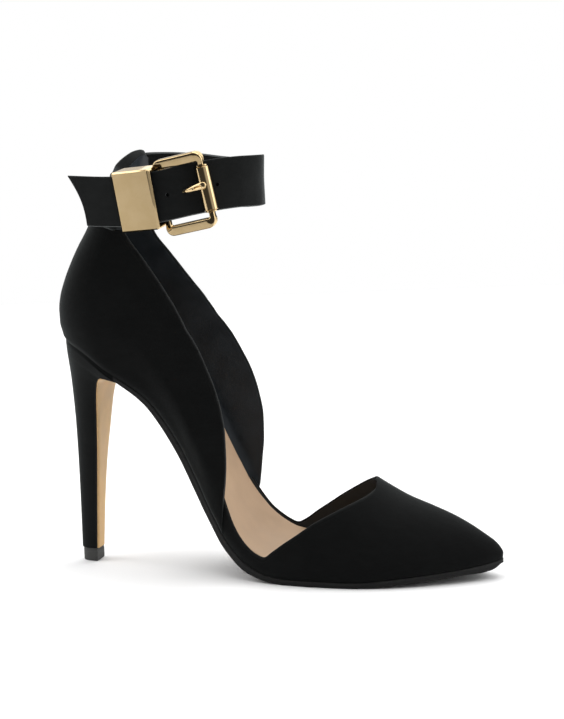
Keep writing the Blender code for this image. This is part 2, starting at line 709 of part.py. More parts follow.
def ring_at(centre, one, two, radius, sides=10):
    turn = np.arange(sides) * 2 * math.pi / sides
    return [centre + (one * math.cos(a) + two * math.sin(a)) * radius for a in turn]


def make_buckle_frame(material):
    """Four sides with round corners: a stout rod above and below, thinner round bars at back and front."""
    centre, along, up, out, reach = buckle_axes()
    quarter = np.radians(np.linspace(0, 90, 5))
    path = []
    for turn, (a, b) in enumerate(((1, 1), (-1, 1), (-1, -1), (1, -1))):
        middle = (a * (reach - FRAME_CORNER), b * (FRAME_HALF - FRAME_CORNER))
        for q in quarter + turn * math.pi / 2:
            path.append((middle[0] + FRAME_CORNER * math.cos(q), middle[1] + FRAME_CORNER * math.sin(q), q))
    points = []
    for a, b, q in path:
        outward = along * math.cos(q) + up * math.sin(q)
        radius = BAR_RADIUS + (SIDE_RADIUS - BAR_RADIUS) * abs(math.sin(q))
        points += ring_at(centre + along * a + up * b, outward, out, radius)
    size = len(points) // len(path)
    faces = []
    for i in range(len(path)):
        for k in range(size):
            a, b = i * size, (i + 1) % len(path) * size
            j = (k + 1) % size
            faces.append((a + k, a + j, b + j, b + k))
    return new_piece("buckle_frame", points, faces, material)


def make_buckle_roller(material):
    """Tube that turns on the frame's front bar, with small collars at its ends."""
    _, along, up, out, _ = buckle_axes()
    ends = ROLLER_HALF * np.array((-1.0, -0.93, -0.92, 0.92, 0.93, 1.0))
    sizes = (COLLAR_RADIUS, COLLAR_RADIUS, ROLLER_RADIUS, ROLLER_RADIUS, COLLAR_RADIUS, COLLAR_RADIUS)
    sides = 16
    points = []
    for end, size in zip(ends, sizes):
        points += ring_at(ROLLER_CENTRE + up * end, along, out, size, sides)
    for end in ends[[-1, 0]]:
        points += ring_at(ROLLER_CENTRE + up * end, along, out, ROLLER_BORE, sides)
    rings = len(points) // sides
    faces = []
    for i in range(rings):
        a, b = i * sides, (i + 1) % rings * sides
        for k in range(sides):
            j = (k + 1) % sides
            faces.append((a + k, a + j, b + j, b + k))
    return new_piece("buckle_roller", points, faces, material)


def make_buckle_prong(material):
    centre, along, up, out, _ = buckle_axes()
    rings = []
    for a, o, rise, width, thick in zip(*PRONG.values()):
        middle = centre + along * a + out * o + up * rise
        w, t = width / 2, thick / 2
        corners = ((-w, -t * 0.5), (-w, t * 0.5), (-w * 0.6, t), (w * 0.6, t),
                   (w, t * 0.5), (w, -t * 0.5), (w * 0.6, -t), (-w * 0.6, -t))
        rings.append([middle + up * h + out * d for h, d in corners])
    return lofted("buckle_prong", rings, material)


def make_keeper(material):
    """Flat metal tube with bevelled edges, open at both ends for the strap."""
    along, up, out = level_axes(KEEPER_ALONG)

    def outline(inset, bevel, end):
        h, d = KEEPER_HEIGHT / 2 - inset, KEEPER_DEPTH / 2 - inset
        pairs = ((-h, -d + bevel), (-h, d - bevel), (-h + bevel, d), (h - bevel, d),
                 (h, d - bevel), (h, -d + bevel), (h - bevel, -d), (-h + bevel, -d))
        return [KEEPER_CENTRE + along * end + up * a + out * b for a, b in pairs]

    half = KEEPER_LENGTH / 2
    chamfer = 0.4
    rings = [outline(KEEPER_WALL, 0.3, -half), outline(chamfer, KEEPER_BEVEL, -half),
             outline(0.0, KEEPER_BEVEL, chamfer - half), outline(0.0, KEEPER_BEVEL, half - chamfer),
             outline(chamfer, KEEPER_BEVEL, half), outline(KEEPER_WALL, 0.3, half)]
    size = len(rings[0])
    faces = []
    for i in range(len(rings)):
        a, b = i * size, (i + 1) % len(rings) * size
        for k in range(size):
            j = (k + 1) % size
            faces.append((a + k, a + j, b + j, b + k))
    return new_piece("keeper", np.concatenate(rings), faces, material)


def centre_over_floor():
    """Moves all pieces so that the shoe's box is centred on the origin, with its tread on the floor."""
    pieces = [piece for piece in bpy.data.objects if not piece.hide_render]
    corners = np.array([vertex.co for piece in pieces for vertex in piece.data.vertices])
    middle = 0.5 * (corners.min(axis=0) + corners.max(axis=0))
    for piece in bpy.data.objects:
        piece.data.transform(Matrix.Translation((-middle[0], -middle[1], -corners[:, 2].min())))


def main():
    for old in list(bpy.data.objects):
        bpy.data.objects.remove(old, do_unlink=True)
    make_upper(suede("upper_suede"))
    make_outsole(new_material("black_sole", (0.02, 0.02, 0.02), 0.45))
    make_insole(new_material("tan_insole", (0.80, 0.60, 0.42), 0.6))
    make_heel(suede("heel_suede"))
    make_heel_breast(new_material("tan_breast", (0.78, 0.58, 0.38), 0.5))
    make_top_lift(new_material("dark_rubber", (0.05, 0.05, 0.05), 0.7))
    make_ankle_strap(suede("strap_suede"), make_hole_cutters())
    make_strap_loop(suede("loop_suede"))
    make_buckle_frame(gold("frame_metal"))
    make_buckle_roller(gold("roller_metal"))
    make_buckle_prong(gold("prong_metal"))
    make_keeper(gold("keeper_metal"))
    centre_over_floor()


main()
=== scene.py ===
import math

import bmesh
import bpy
import numpy as np
from mathutils import Matrix, Vector


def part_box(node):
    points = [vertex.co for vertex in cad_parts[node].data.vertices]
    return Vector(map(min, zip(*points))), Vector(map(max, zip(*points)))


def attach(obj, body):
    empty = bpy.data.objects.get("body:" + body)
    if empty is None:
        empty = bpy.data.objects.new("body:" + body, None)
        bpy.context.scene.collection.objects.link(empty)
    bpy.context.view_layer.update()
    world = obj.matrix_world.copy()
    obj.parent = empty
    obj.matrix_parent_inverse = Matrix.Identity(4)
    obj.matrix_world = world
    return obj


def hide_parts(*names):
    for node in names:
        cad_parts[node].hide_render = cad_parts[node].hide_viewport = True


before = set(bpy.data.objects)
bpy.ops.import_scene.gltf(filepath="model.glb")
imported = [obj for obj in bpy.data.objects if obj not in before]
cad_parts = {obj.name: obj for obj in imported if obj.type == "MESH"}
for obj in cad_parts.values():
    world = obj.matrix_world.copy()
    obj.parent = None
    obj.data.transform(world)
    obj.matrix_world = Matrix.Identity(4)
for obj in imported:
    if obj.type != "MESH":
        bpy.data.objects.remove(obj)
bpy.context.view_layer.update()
print("frame loaded:", sorted(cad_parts))

# The shoe's sizes below are millimetres: x to the toe from the back of the seat, y to the inner side, z up.
mm = 0.001
liftLow, liftHigh = (np.array(corner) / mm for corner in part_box("top_lift"))
liftMiddle = 8.25                 # x of the heel tip's middle in these sizes
toFrame = np.array(((liftLow[0] + liftHigh[0]) / 2 - liftMiddle, (liftLow[1] + liftHigh[1]) / 2, 0.0))


def table(names, rows):
    return dict(zip(names.split(), np.array(rows, float).T))


def smoothThrough(xs, ys, at):
    # monotone cubic through the rows: each row's slope is the harmonic mean of its two chords, 0 at a turn
    at = np.clip(np.asarray(at, float), xs[0], xs[-1])
    step = np.diff(xs)
    slope = np.diff(ys) / step
    sameWay = slope[:-1] * slope[1:] > 0
    both = np.where(sameWay, slope[:-1] + slope[1:], 1.0)
    lean = np.concatenate((slope[:1], np.where(sameWay, 2 * slope[:-1] * slope[1:] / both, 0.0), slope[-1:]))
    i = np.clip(np.searchsorted(xs, at, side="right") - 1, 0, len(step) - 1)
    t = (at - xs[i]) / step[i]
    rise = ys[i] * (2 * t**3 - 3 * t**2 + 1) + ys[i + 1] * (3 * t**2 - 2 * t**3)
    return rise + step[i] * (lean[i] * (t**3 - 2 * t**2 + t) + lean[i + 1] * (t**3 - t**2))


def curveThrough(points, at):
    # each piece is the cubic through two rows, with slopes of half the chord over their neighbours
    points = np.asarray(points, float)
    padded = np.vstack((2 * points[0] - points[1], points, 2 * points[-1] - points[-2]))
    at = np.clip(np.asarray(at, float), 0, len(points) - 1)
    i = np.minimum(at.astype(int), len(points) - 2)
    t = (at - i)[..., None]
    p0, p1, p2, p3 = (padded[i + k] for k in range(4))
    bend = (2 * p0 - 5 * p1 + 4 * p2 - p3) * t**2 + (3 * p1 - p0 - 3 * p2 + p3) * t**3
    return 0.5 * (2 * p1 + (p2 - p0) * t + bend)


def ease(t):
    # smooth step from 0 to 1
    t = np.clip(t, 0.0, 1.0)
    return t * t * (3 - 2 * t)


def easeFrom(x, start, length):
    return ease((x - start) / length)


def unit(v):
    return v / np.maximum(np.linalg.norm(v, axis=-1, keepdims=True), 1e-9)


# mesh helpers

def gridQuads(rows, cols, closeRows=False, closeCols=False):
    # quad k,l joins the points (k, l), (k+1, l), (k+1, l+1), (k, l+1); a closed side wraps round
    a, b = np.meshgrid(np.arange(rows - (not closeRows)), np.arange(cols - (not closeCols)), indexing="ij")
    a2, b2 = (a + 1) % rows, (b + 1) % cols
    return np.stack((a * cols + b, a2 * cols + b, a2 * cols + b2, a * cols + b2), axis=-1).reshape(-1, 4)


def endCap(first, count):
    # strip across a closed ring of count points: point k is joined to its partner count-1-k
    k = first + np.arange(count // 2 - 1)
    far = first + count - 1 - np.arange(count // 2 - 1)
    return np.stack((k, k + 1, far - 1, far), axis=-1)


def loftQuads(count, size):
    # sides of a solid through closed rings, and its two ends filled straight across
    ends = (endCap(0, size), endCap((count - 1) * size, size))
    return np.concatenate((gridQuads(count, size, closeCols=True), *ends))


def quadFacing(ring, quads, way):
    # each quad's unit normal, from the cross product of its diagonals, dotted with a direction
    corner = ring.reshape(-1, 3)[quads]
    return unit(np.cross(corner[:, 2] - corner[:, 0], corner[:, 3] - corner[:, 1])) @ way


def cleanMesh(mesh):
    # close the seams and turn all faces outwards
    body = bmesh.new()
    body.from_mesh(mesh)
    bmesh.ops.remove_doubles(body, verts=body.verts, dist=2e-6)
    bmesh.ops.recalc_face_normals(body, faces=body.faces)
    body.to_mesh(mesh)
    body.free()


def addPiece(name, points, quads, looks, nodes, faceLook=None, marks=None, sharp=40.0):
    points = np.asarray(points, float).reshape(-1, 3)
    used, quads = np.unique(quads, return_inverse=True)
    quads = quads.reshape(-1, 4)
    mesh = bpy.data.meshes.new(name)
    mesh.from_pydata((points[used] + toFrame) * mm, [], quads)
    for look in looks:
        mesh.materials.append(look)
    if faceLook is not None:
        mesh.polygons.foreach_set("material_index", np.asarray(faceLook, np.int32))
    for key, values in (marks or {}).items():
        layer = mesh.attributes.new(key, "FLOAT", "POINT")
        layer.data.foreach_set("value", np.asarray(values, np.float32).reshape(-1)[used])
    cleanMesh(mesh)
    mesh.shade_smooth()
    mesh.set_sharp_from_angle(angle=math.radians(sharp))
    piece = bpy.data.objects.new(name, mesh)
    bpy.context.collection.objects.link(piece)
    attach(piece, "root")
    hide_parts(*nodes)
    return piece


def addLoft(name, rings, looks, nodes, marks=None, sharp=40.0):
    rings = np.asarray(rings, float)
    quads = loftQuads(*rings.shape[:2])
    return addPiece(name, rings, quads, looks, nodes, marks=marks, sharp=sharp)


# node helpers

def addNode(tree, kind, place=(0, 0), **settings):
    node = tree.nodes.new(kind)
    node.location = place
    for key, value in settings.items():
        setattr(node, key, value)
    return node


def feed(tree, node, **values):
    # each value is a socket to link, or a plain number or colour to set; _ in a name stands for a space
    for key, value in values.items():
        socket = node.inputs[int(key[1:]) if key[0] == "i" and key[1:].isdigit() else key.replace("_", " ")]
        if isinstance(value, bpy.types.NodeSocket):
            tree.links.new(value, socket)
        else:
            socket.default_value = value
    return node


def mathNode(tree, operation, a, b=None, c=None, clamp=False):
    node = addNode(tree, "ShaderNodeMath", operation=operation, use_clamp=clamp)
    feed(tree, node, **{f"i{k}": v for k, v in enumerate((a, b, c)) if v is not None})
    return node.outputs[0]


def mixColour(tree, factor, a, b):
    node = addNode(tree, "ShaderNodeMix", data_type="RGBA")
    feed(tree, node, i0=factor, i6=a, i7=b)
    return node.outputs[2]


def stretch(tree, value, low, high, toLow=0.0, toHigh=1.0):
    node = addNode(tree, "ShaderNodeMapRange", interpolation_type="SMOOTHSTEP")
    feed(tree, node, Value=value, From_Min=low, From_Max=high, To_Min=toLow, To_Max=toHigh)
    return node.outputs[0]


def noiseNode(tree, place, scale, detail, **more):
    node = addNode(tree, "ShaderNodeTexNoise")
    return feed(tree, node, Vector=place, Scale=scale, Detail=detail, **more).outputs["Fac"]


def turnedPlace(tree, place, rotation, scale):
    node = addNode(tree, "ShaderNodeMapping")
    return feed(tree, node, Vector=place, Rotation=rotation, Scale=scale).outputs[0]


def newGroup(name, inputs, outputs):
    # inputs have a starting value, or None for a place; outputs are plain values
    group = bpy.data.node_groups.new(name, "ShaderNodeTree")
    for key, value in inputs.items():
        kind = "NodeSocketVector" if value is None else "NodeSocketFloat"
        socket = group.interface.new_socket(key, in_out="INPUT", socket_type=kind)
        if value is not None:
            socket.default_value = value
    for key in outputs:
        group.interface.new_socket(key, in_out="OUTPUT", socket_type="NodeSocketFloat")
    given, out = addNode(group, "NodeGroupInput", (-900, 0)), addNode(group, "NodeGroupOutput", (600, 0))
    return group, given.outputs, out


def placeGroup(tree, group, **values):
    node = addNode(tree, "ShaderNodeGroup", node_tree=group)
    return feed(tree, node, **values).outputs


def newLook(name, **constants):
    look = bpy.data.materials.new(name)
    look.use_nodes = True
    shader = look.node_tree.nodes["Principled BSDF"]
    feed(look.node_tree, shader, **constants)
    return look, look.node_tree, shader


def objectPlace(tree):
    return addNode(tree, "ShaderNodeTexCoord", (-1200, 0)).outputs["Object"]


def markValue(tree, name):
    return addNode(tree, "ShaderNodeAttribute", (-1200, -300), attribute_name=name).outputs["Fac"]


def bumpFrom(tree, height, strength, distance, **more):
    node = addNode(tree, "ShaderNodeBump")
    return feed(tree, node, Height=height, Strength=strength, Distance=distance, **more).outputs[0]


def shaded(colour, amount):
    return tuple(amount * c for c in colour[:3]) + (1,)


# shared effects

def makeNapGroup():
    # nap: fine fibres, short strokes where the pile lies another way, and slow clouds of tone
    group, given, out = newGroup("suedeNap", dict(Place=None, Stroke=0.5), ("Tone", "Height"))
    place = given["Place"]
    fibre = noiseNode(group, place, 2600.0, 4.0, Roughness=0.7)
    turned = turnedPlace(group, place, (0.2, 0.5, 0.3), (90.0, 420.0, 300.0))
    stroke = noiseNode(group, turned, 1.0, 3.0, Roughness=0.6)
    cloud = noiseNode(group, place, 55.0, 3.0, Roughness=0.55)
    tone = mathNode(group, "MULTIPLY_ADD", stretch(group, stroke, 0.35, 0.75), given["Stroke"], 0.05)
    tone = mathNode(group, "MULTIPLY_ADD", stretch(group, cloud, 0.3, 0.75), 0.22, tone)
    tone = mathNode(group, "MULTIPLY_ADD", fibre, 0.35, tone, clamp=True)
    feed(group, out, Tone=tone, Height=mathNode(group, "MULTIPLY_ADD", stroke, 0.6, fibre))
    return group


def makeGrainGroup():
    # grain: small cells with soft valleys between them, over a slow unevenness
    group, given, out = newGroup("leatherGrain", dict(Place=None, Cells=1400.0), ("Tone", "Height"))
    cells = feed(group, addNode(group, "ShaderNodeTexVoronoi", feature="DISTANCE_TO_EDGE"),
                 Vector=given["Place"], Scale=given["Cells"])
    slow = noiseNode(group, given["Place"], 90.0, 4.0)
    valley = stretch(group, cells.outputs["Distance"], 0.0, 0.28)
    height = mathNode(group, "MULTIPLY_ADD", slow, 0.7, valley)
    feed(group, out, Tone=stretch(group, slow, 0.3, 0.7), Height=height)
    return group


def makeEdgeGroup():
    # edge: 1 on the rim and falling to 0 over a width, broken up by noise; it places the edge colours, which on
    # the suede and the sole edge are rubbed wear with a painted highlight
    group, given, out = newGroup("edgeMarkBand", dict(Place=None, Gap=9.0, Width=0.8), ("Mask",))
    near = mathNode(group, "DIVIDE", given["Gap"], given["Width"])
    near = mathNode(group, "SUBTRACT", 1.0, near, clamp=True)
    edgeMark = stretch(group, noiseNode(group, given["Place"], 420.0, 3.0), 0.25, 0.6)
    feed(group, out, Mask=mathNode(group, "MULTIPLY", near, edgeMark))
    return group


def makeStitchGroup():
    # stitch row: at a set gap from the edge, dashes of one pitch along it, in a shallow pulled-in groove
    group, given, out = newGroup("stitchRow", dict(Gap=9.0, Along=0.0, Inset=2.0, Pitch=2.6), ("Mask", "Height"))
    off = mathNode(group, "ABSOLUTE", mathNode(group, "SUBTRACT", given["Gap"], given["Inset"]))
    thread = stretch(group, off, 0.12, 0.34, 1.0, 0.0)
    groove = stretch(group, off, 0.2, 0.75, 1.0, 0.0)
    turn = mathNode(group, "FRACT", mathNode(group, "DIVIDE", given["Along"], given["Pitch"]))
    dash = mathNode(group, "ABSOLUTE", mathNode(group, "SUBTRACT", turn, 0.5))
    mask = mathNode(group, "MULTIPLY", thread, stretch(group, dash, 0.34, 0.46, 1.0, 0.0))
    height = mathNode(group, "MULTIPLY_ADD", groove, -0.6, mathNode(group, "MULTIPLY", mask, 0.9))
    feed(group, out, Mask=mask, Height=height)
    return group


def makePolishGroup():
    # polish: hair-fine marks in one direction and faint smears that make the gloss uneven
    group, given, out = newGroup("metalPolish", dict(Place=None, Dull=1.0), ("Rough", "Height", "Tone"))
    turned = turnedPlace(group, given["Place"], (0.0, 0.1, 0.2), (160.0, 160.0, 2600.0))
    marks = noiseNode(group, turned, 1.0, 3.0)
    smear = noiseNode(group, given["Place"], 160.0, 3.0)
    rough = mathNode(group, "MULTIPLY_ADD", marks, 0.04, 0.06)
    rough = mathNode(group, "MULTIPLY_ADD", stretch(group, smear, 0.35, 0.7), 0.04, rough)
    rough = mathNode(group, "MULTIPLY", rough, given["Dull"])
    feed(group, out, Rough=rough, Height=marks, Tone=stretch(group, smear, 0.3, 0.7))
    return group


napGroup = makeNapGroup()
grainGroup = makeGrainGroup()
edgeGroup = makeEdgeGroup()
stitchGroup = makeStitchGroup()
polishGroup = makePolishGroup()

# the suede's edge colour is lighter than the nap: partly rubbed wear, partly a painted highlight along the rims
suedeFinish = dict(dark=(0.0036, 0.0038, 0.0038), light=(0.0094, 0.0099, 0.0099), edgeMark=(0.021, 0.022, 0.022),
                   rough=0.9, gloss=0.06, sheen=0.16, sheenRough=0.42, sheenTint=(0.86, 0.93, 0.93, 1),
                   nap=0.35, napDeep=0.00035, edgeWidth=0.9, edgeShare=0.45,
                   thread=(0.012, 0.012, 0.0125, 1), threadShare=0.25, pitch=2.4, pull=0.22, pullDeep=0.0004)


# lift scales the colours and the sheen: lighter and darker copies of one black suede, as painted light and shade
def makeSuede(name, stroke=0.2, stitchInset=0.0, lift=1.0):
    finish = suedeFinish
    look, tree, shader = newLook(name, Roughness=finish["rough"], Specular_IOR_Level=finish["gloss"],
                                 Sheen_Weight=lift * finish["sheen"], Sheen_Roughness=finish["sheenRough"],
                                 Sheen_Tint=finish["sheenTint"])
    place, gap = objectPlace(tree), markValue(tree, "edgeGap")
    nap = placeGroup(tree, napGroup, Place=place, Stroke=stroke)
    edge = placeGroup(tree, edgeGroup, Place=place, Gap=gap, Width=finish["edgeWidth"])
    dark, light, edgeMark = (shaded(finish[key], lift) for key in ("dark", "light", "edgeMark"))
    colour = mixColour(tree, nap["Tone"], dark, light)
    # lighter rim along the edges: rubbed wear and a painted highlight
    colour = mixColour(tree, mathNode(tree, "MULTIPLY", edge["Mask"], finish["edgeShare"]), colour, edgeMark)
    normal = bumpFrom(tree, nap["Height"], finish["nap"], finish["napDeep"])
    if stitchInset:
        along = markValue(tree, "along")
        stitch = placeGroup(tree, stitchGroup, Gap=gap, Along=along, Inset=stitchInset, Pitch=finish["pitch"])
        thread = mathNode(tree, "MULTIPLY", stitch["Mask"], finish["threadShare"])
        colour = mixColour(tree, thread, colour, finish["thread"])
        normal = bumpFrom(tree, stitch["Height"], finish["pull"], finish["pullDeep"], Normal=normal)
    feed(tree, shader, Base_Color=colour, Normal=normal)
    return look


# grained finishes: two tones, roughness on each, cells to a metre, depth of the grain; the edge entry is the
# edge's colour,
# width and share: darker at the tan edges, lighter lines of wear with a painted highlight on the sole edge; the
# rest is set on the shader as it is
# the lining tones lean blue so that the warm light bounced from the tan insole reads neutral: painted cool light
liningTones = dict(dark=(0.0158, 0.0197, 0.0240, 1), light=(0.0228, 0.0281, 0.0340, 1), cells=1500.0, bump=0.18)
grainedFinish = dict(
    blackLining=dict(liningTones, rough=(0.46, 0.58), Specular_IOR_Level=0.32),
    loopLining=dict(liningTones, rough=(0.26, 0.38), Specular_IOR_Level=0.6),
    tanInsole=dict(dark=(0.415, 0.282, 0.176, 1), light=(0.45, 0.309, 0.197, 1), rough=(0.5, 0.6), cells=1200.0,
                   bump=0.12, worn=((0.22825, 0.1551, 0.0968, 1), 1.1, 0.35), Specular_IOR_Level=0.25),
    tanBreast=dict(dark=(0.66, 0.405, 0.165, 1), light=(0.75, 0.475, 0.21, 1), rough=(0.4, 0.5), cells=900.0,
                   bump=0.12, worn=((0.363, 0.22275, 0.09075, 1), 1.1, 0.35), Specular_IOR_Level=0.25),
    blackSoleEdge=dict(dark=(0.002, 0.002, 0.002, 1), light=(0.005, 0.005, 0.005, 1), rough=(0.55, 0.7),
                       cells=900.0, bump=0.1, worn=((0.022, 0.022, 0.021, 1), 0.45, 0.4), coat=0.05,
                       Coat_Roughness=0.3, Specular_IOR_Level=0.2),
    liftRubber=dict(dark=(0.020, 0.020, 0.019, 1), light=(0.040, 0.040, 0.038, 1), rough=(0.5, 0.68),
                    cells=2200.0, bump=0.25))


def makeGrained(name, dark, light, rough, cells, bump, worn=None, coat=0.0, **constants):
    look, tree, shader = newLook(name, **constants)
    place = objectPlace(tree)
    grain = placeGroup(tree, grainGroup, Place=place, Cells=cells)
    colour = mixColour(tree, grain["Tone"], dark, light)
    # colour near the rim: darker on the tan pieces; on the sole edge lighter lines of wear with a painted
    # highlight
    if worn:
        edgeMark, width, share = worn
        edge = placeGroup(tree, edgeGroup, Place=place, Gap=markValue(tree, "edgeGap"), Width=width)
        colour = mixColour(tree, mathNode(tree, "MULTIPLY", edge["Mask"], share), colour, edgeMark)
    if coat:
        feed(tree, shader, Coat_Weight=stretch(tree, grain["Tone"], 0.0, 1.0, 0.0, coat))
    feed(tree, shader, Base_Color=colour, Roughness=stretch(tree, grain["Tone"], 0.0, 1.0, *rough),
         Normal=bumpFrom(tree, grain["Height"], bump, 0.0002))
    return look


goldFinish = dict(deep=(0.52, 0.385, 0.205), pale=(0.56, 0.42, 0.235), bump=0.04)


# shade scales the gold's colour, so each copy is the same gold lit up or darkened: painted light and shade
def makeGold(name, shade, edgeTint, dull=1.0):
    look, tree, shader = newLook(name, Metallic=1.0, Specular_Tint=edgeTint)
    polish = placeGroup(tree, polishGroup, Place=objectPlace(tree), Dull=dull)
    deep, pale = (shaded(goldFinish[key], shade) for key in ("deep", "pale"))
    feed(tree, shader, Base_Color=mixColour(tree, polish["Tone"], deep, pale), Roughness=polish["Rough"],
         Normal=bumpFrom(tree, polish["Height"], goldFinish["bump"], 0.0001))
    return look


# all three are the same black suede: the upper's is darkened to 0.7 as painted shade, the strap's lightened to
# 1.6 as painted light
suedeUpper = makeSuede("suedeUpper", stitchInset=1.9, lift=0.7)
suedeHeel = makeSuede("suedeHeel", stroke=0.16)
suedeStrap = makeSuede("suedeStrap", stroke=0.18, stitchInset=2.1, lift=1.6)
lining, loopLining, tanInsole, tanBreast, soleEdge, liftRubber = (
    makeGrained(name, **finish) for name, finish in grainedFinish.items())
# one gold plating in three copies that differ in painted brightness: the pale one lit up for painted highlights,
# the roller's and the one on the keeper's front and the frame's flat faces darkened as painted shade; the
# roller's is also less rough
gold = makeGold("paleGold", 1.15, (1.0, 0.95, 0.85, 1))
goldRoller = makeGold("rollerGold", 0.92, (1.0, 0.95, 0.85, 1), 0.4)
goldShadedCopy = makeGold("shadedGoldCopy", 0.68, (0.88, 0.83, 0.74, 1))
print("finishes made")

# the last: height under the sole, its thickness and half widths
sole = table("x under thick lateral medial", (
    (1.3, 118.2, 1.0, 21.5, 21.5), (14.8, 112.9, 1.0, 21.5, 21.5), (28.0, 103.7, 1.0, 21.5, 21.5),
    (36.3, 98.1, 1.3, 21.3, 21.0), (43.6, 93.0, 1.6, 21.0, 20.2), (49.7, 87.6, 1.8, 20.8, 19.4),
    (55.7, 79.9, 2.0, 20.6, 18.7), (65.6, 63.5, 2.3, 20.5, 17.9), (74.7, 44.4, 2.5, 21.2, 18.1),
    (78.9, 35.5, 2.6, 22.0, 18.7), (84.4, 25.5, 2.6, 23.8, 20.1), (88.7, 18.4, 2.7, 25.2, 21.6),
    (94.3, 11.8, 2.7, 26.9, 23.6), (99.6, 7.1, 2.8, 28.4, 25.4), (106.2, 3.4, 2.9, 30.0, 27.6),
    (113.0, 1.1, 2.9, 31.4, 29.8), (123.0, 0.0, 3.0, 33.1, 32.6), (138.0, 0.0, 3.0, 34.2, 34.4),
    (150.0, 0.0, 3.0, 34.2, 34.8), (158.0, 0.0, 3.0, 33.6, 34.1), (166.5, 0.5, 3.0, 32.4, 32.3),
    (180.8, 1.7, 3.0, 28.4, 27.2), (194.5, 2.8, 3.0, 22.6, 20.8), (207.7, 3.9, 3.0, 15.6, 13.8),
    (218.0, 5.0, 3.0, 8.7, 7.8), (222.0, 5.6, 3.0, 5.4, 5.0), (224.2, 6.0, 3.0, 3.4, 3.3),
    (225.3, 6.3, 3.0, 2.2, 2.2), (225.9, 6.5, 3.0, 1.0, 1.0), (226.1, 6.6, 3.0, 0.0, 0.0)))

# ridge of the vamp, and behind the throat the instep its walls aim at
vampRidge = table("x z y", (
    (84.0, 115.0, 4.0), (113.0, 88.0, 4.0), (136.0, 66.0, 4.0), (152.0, 54.2, 4.0), (162.0, 47.4, 4.0),
    (169.0, 43.4, 3.7), (178.0, 38.9, 3.2), (189.4, 34.8, 2.5), (200.7, 30.5, 1.7), (210.7, 25.5, 1.0),
    (218.0, 20.9, 0.5), (222.0, 18.0, 0.2), (225.3, 14.1, 0.0), (226.1, 12.6, 0.0)))

meetGap = 0.3       # room left between pieces that meet
wall = 1.8          # thickness of the upper
wallSwell = dict(out=1.2, height=7.0)


def under(x):
    return smoothThrough(sole["x"], sole["under"], x)


def steepness(x):
    # length of the slanted sole line to one of x
    return np.hypot(1.0, under(x + 0.5) - under(x - 0.5))


def soleLine(x):
    # top of the outsole plus the clearance
    return under(x) + smoothThrough(sole["x"], sole["thick"], x) * steepness(x) + meetGap


def halfWidth(x, side):
    return smoothThrough(sole["x"], sole["lateral" if side < 0 else "medial"], x)


def ridgeHeight(x):
    return smoothThrough(vampRidge["x"], vampRidge["z"], x)


def swell(height):
    # the wall stands out over the sole line within a little height, as a quarter of a parabola
    return wallSwell["out"] * (1 - (1 - np.clip(height / wallSwell["height"], 0, 1))**2)


def planOffset(x, side, inset):
    # point of the sole line, moved inwards along its normal in plan
    slope = (halfWidth(x + 0.2, side) - halfWidth(x - 0.2, side)) / 0.4
    length = np.hypot(1, slope)
    tip = x >= sole["x"][-1]
    moved = x + np.where(tip, -inset, inset * slope / length)
    return moved, np.maximum(halfWidth(x, side) - np.where(tip, 0.0, inset / length), 0.0)


def rimmed(outer, inner, direction, steps, bulge=1.0):
    # ring over the wall: outer skin upwards, half a circle over the edge, inner skin downwards
    centre = (outer[:, -1] + inner[:, -1]) / 2
    half = (outer[:, -1] - inner[:, -1]) / 2
    turn = np.linspace(0, np.pi, steps + 2)[1:-1, None]
    reach = direction * np.linalg.norm(half, axis=1, keepdims=True) * bulge
    rim = centre[:, None] + half[:, None] * np.cos(turn) + reach[:, None] * np.sin(turn)
    return np.concatenate((outer, rim, inner[:, ::-1]), axis=1)


def edgeDistance(ring, rows):
    # length along each column from the edge of the wall, on both sides of it
    step = np.linalg.norm(np.diff(ring, axis=1), axis=2)
    run = np.concatenate((np.zeros((len(ring), 1)), np.cumsum(step, axis=1)), axis=1)
    outerEdge, innerEdge = run[:, rows - 1:rows], run[:, -rows:][:, :1]
    return np.maximum(np.maximum(outerEdge - run, run - innerEdge), 0)


def alongEdge(ring, rows):
    # length along the wall's edge up to each column
    step = np.linalg.norm(np.diff(ring[:, rows - 1], axis=0), axis=1)
    return np.repeat(np.concatenate(([0.0], np.cumsum(step)))[:, None], ring.shape[1], axis=1)


# vamp and waist bands: each column's foot on the sole line and its top end
vampTop = {
    -1: table("foot x z", (
        (167.6, 162.3, 47.2),
        (166.4, 163.4, 46.0), (164.8, 163.9, 43.7), (161.5, 161.3, 41.5), (157.0, 157.0, 39.7),
        (151.0, 151.0, 37.2), (144.2, 144.2, 34.0), (137.0, 137.0, 30.1), (129.5, 129.5, 25.0),
        (122.0, 122.0, 20.0), (116.5, 116.5, 16.0), (111.8, 111.8, 12.9), (107.2, 107.2, 14.4),
        (102.6, 102.6, 17.8), (98.2, 98.2, 22.9), (94.4, 94.7, 29.0), (91.4, 91.7, 36.6),
        (88.4, 89.4, 43.0))),
    1: table("foot x z", (
        (167.6, 162.3, 47.2),
        (166.4, 161.7, 46.7), (164.0, 160.6, 45.5), (160.5, 158.7, 44.6), (155.5, 154.8, 42.4),
        (150.0, 149.5, 39.3), (144.2, 144.2, 36.0), (137.0, 137.0, 31.5), (129.5, 129.5, 26.4),
        (122.0, 122.0, 21.4), (116.5, 116.5, 17.5), (112.6, 112.6, 15.8), (108.5, 108.5, 17.8),
        (104.5, 104.5, 21.0), (100.2, 100.2, 25.3), (96.3, 96.8, 30.2), (91.4, 93.5, 35.5),
        (86.6, 90.3, 41.3)))}
vampFeet = np.array((226.1, 225.9, 225.3, 224.2, 222.0, 218.0, 213.0, 207.0, 200.0, 192.0, 184.0, 176.5, 171.0,
                     167.6))
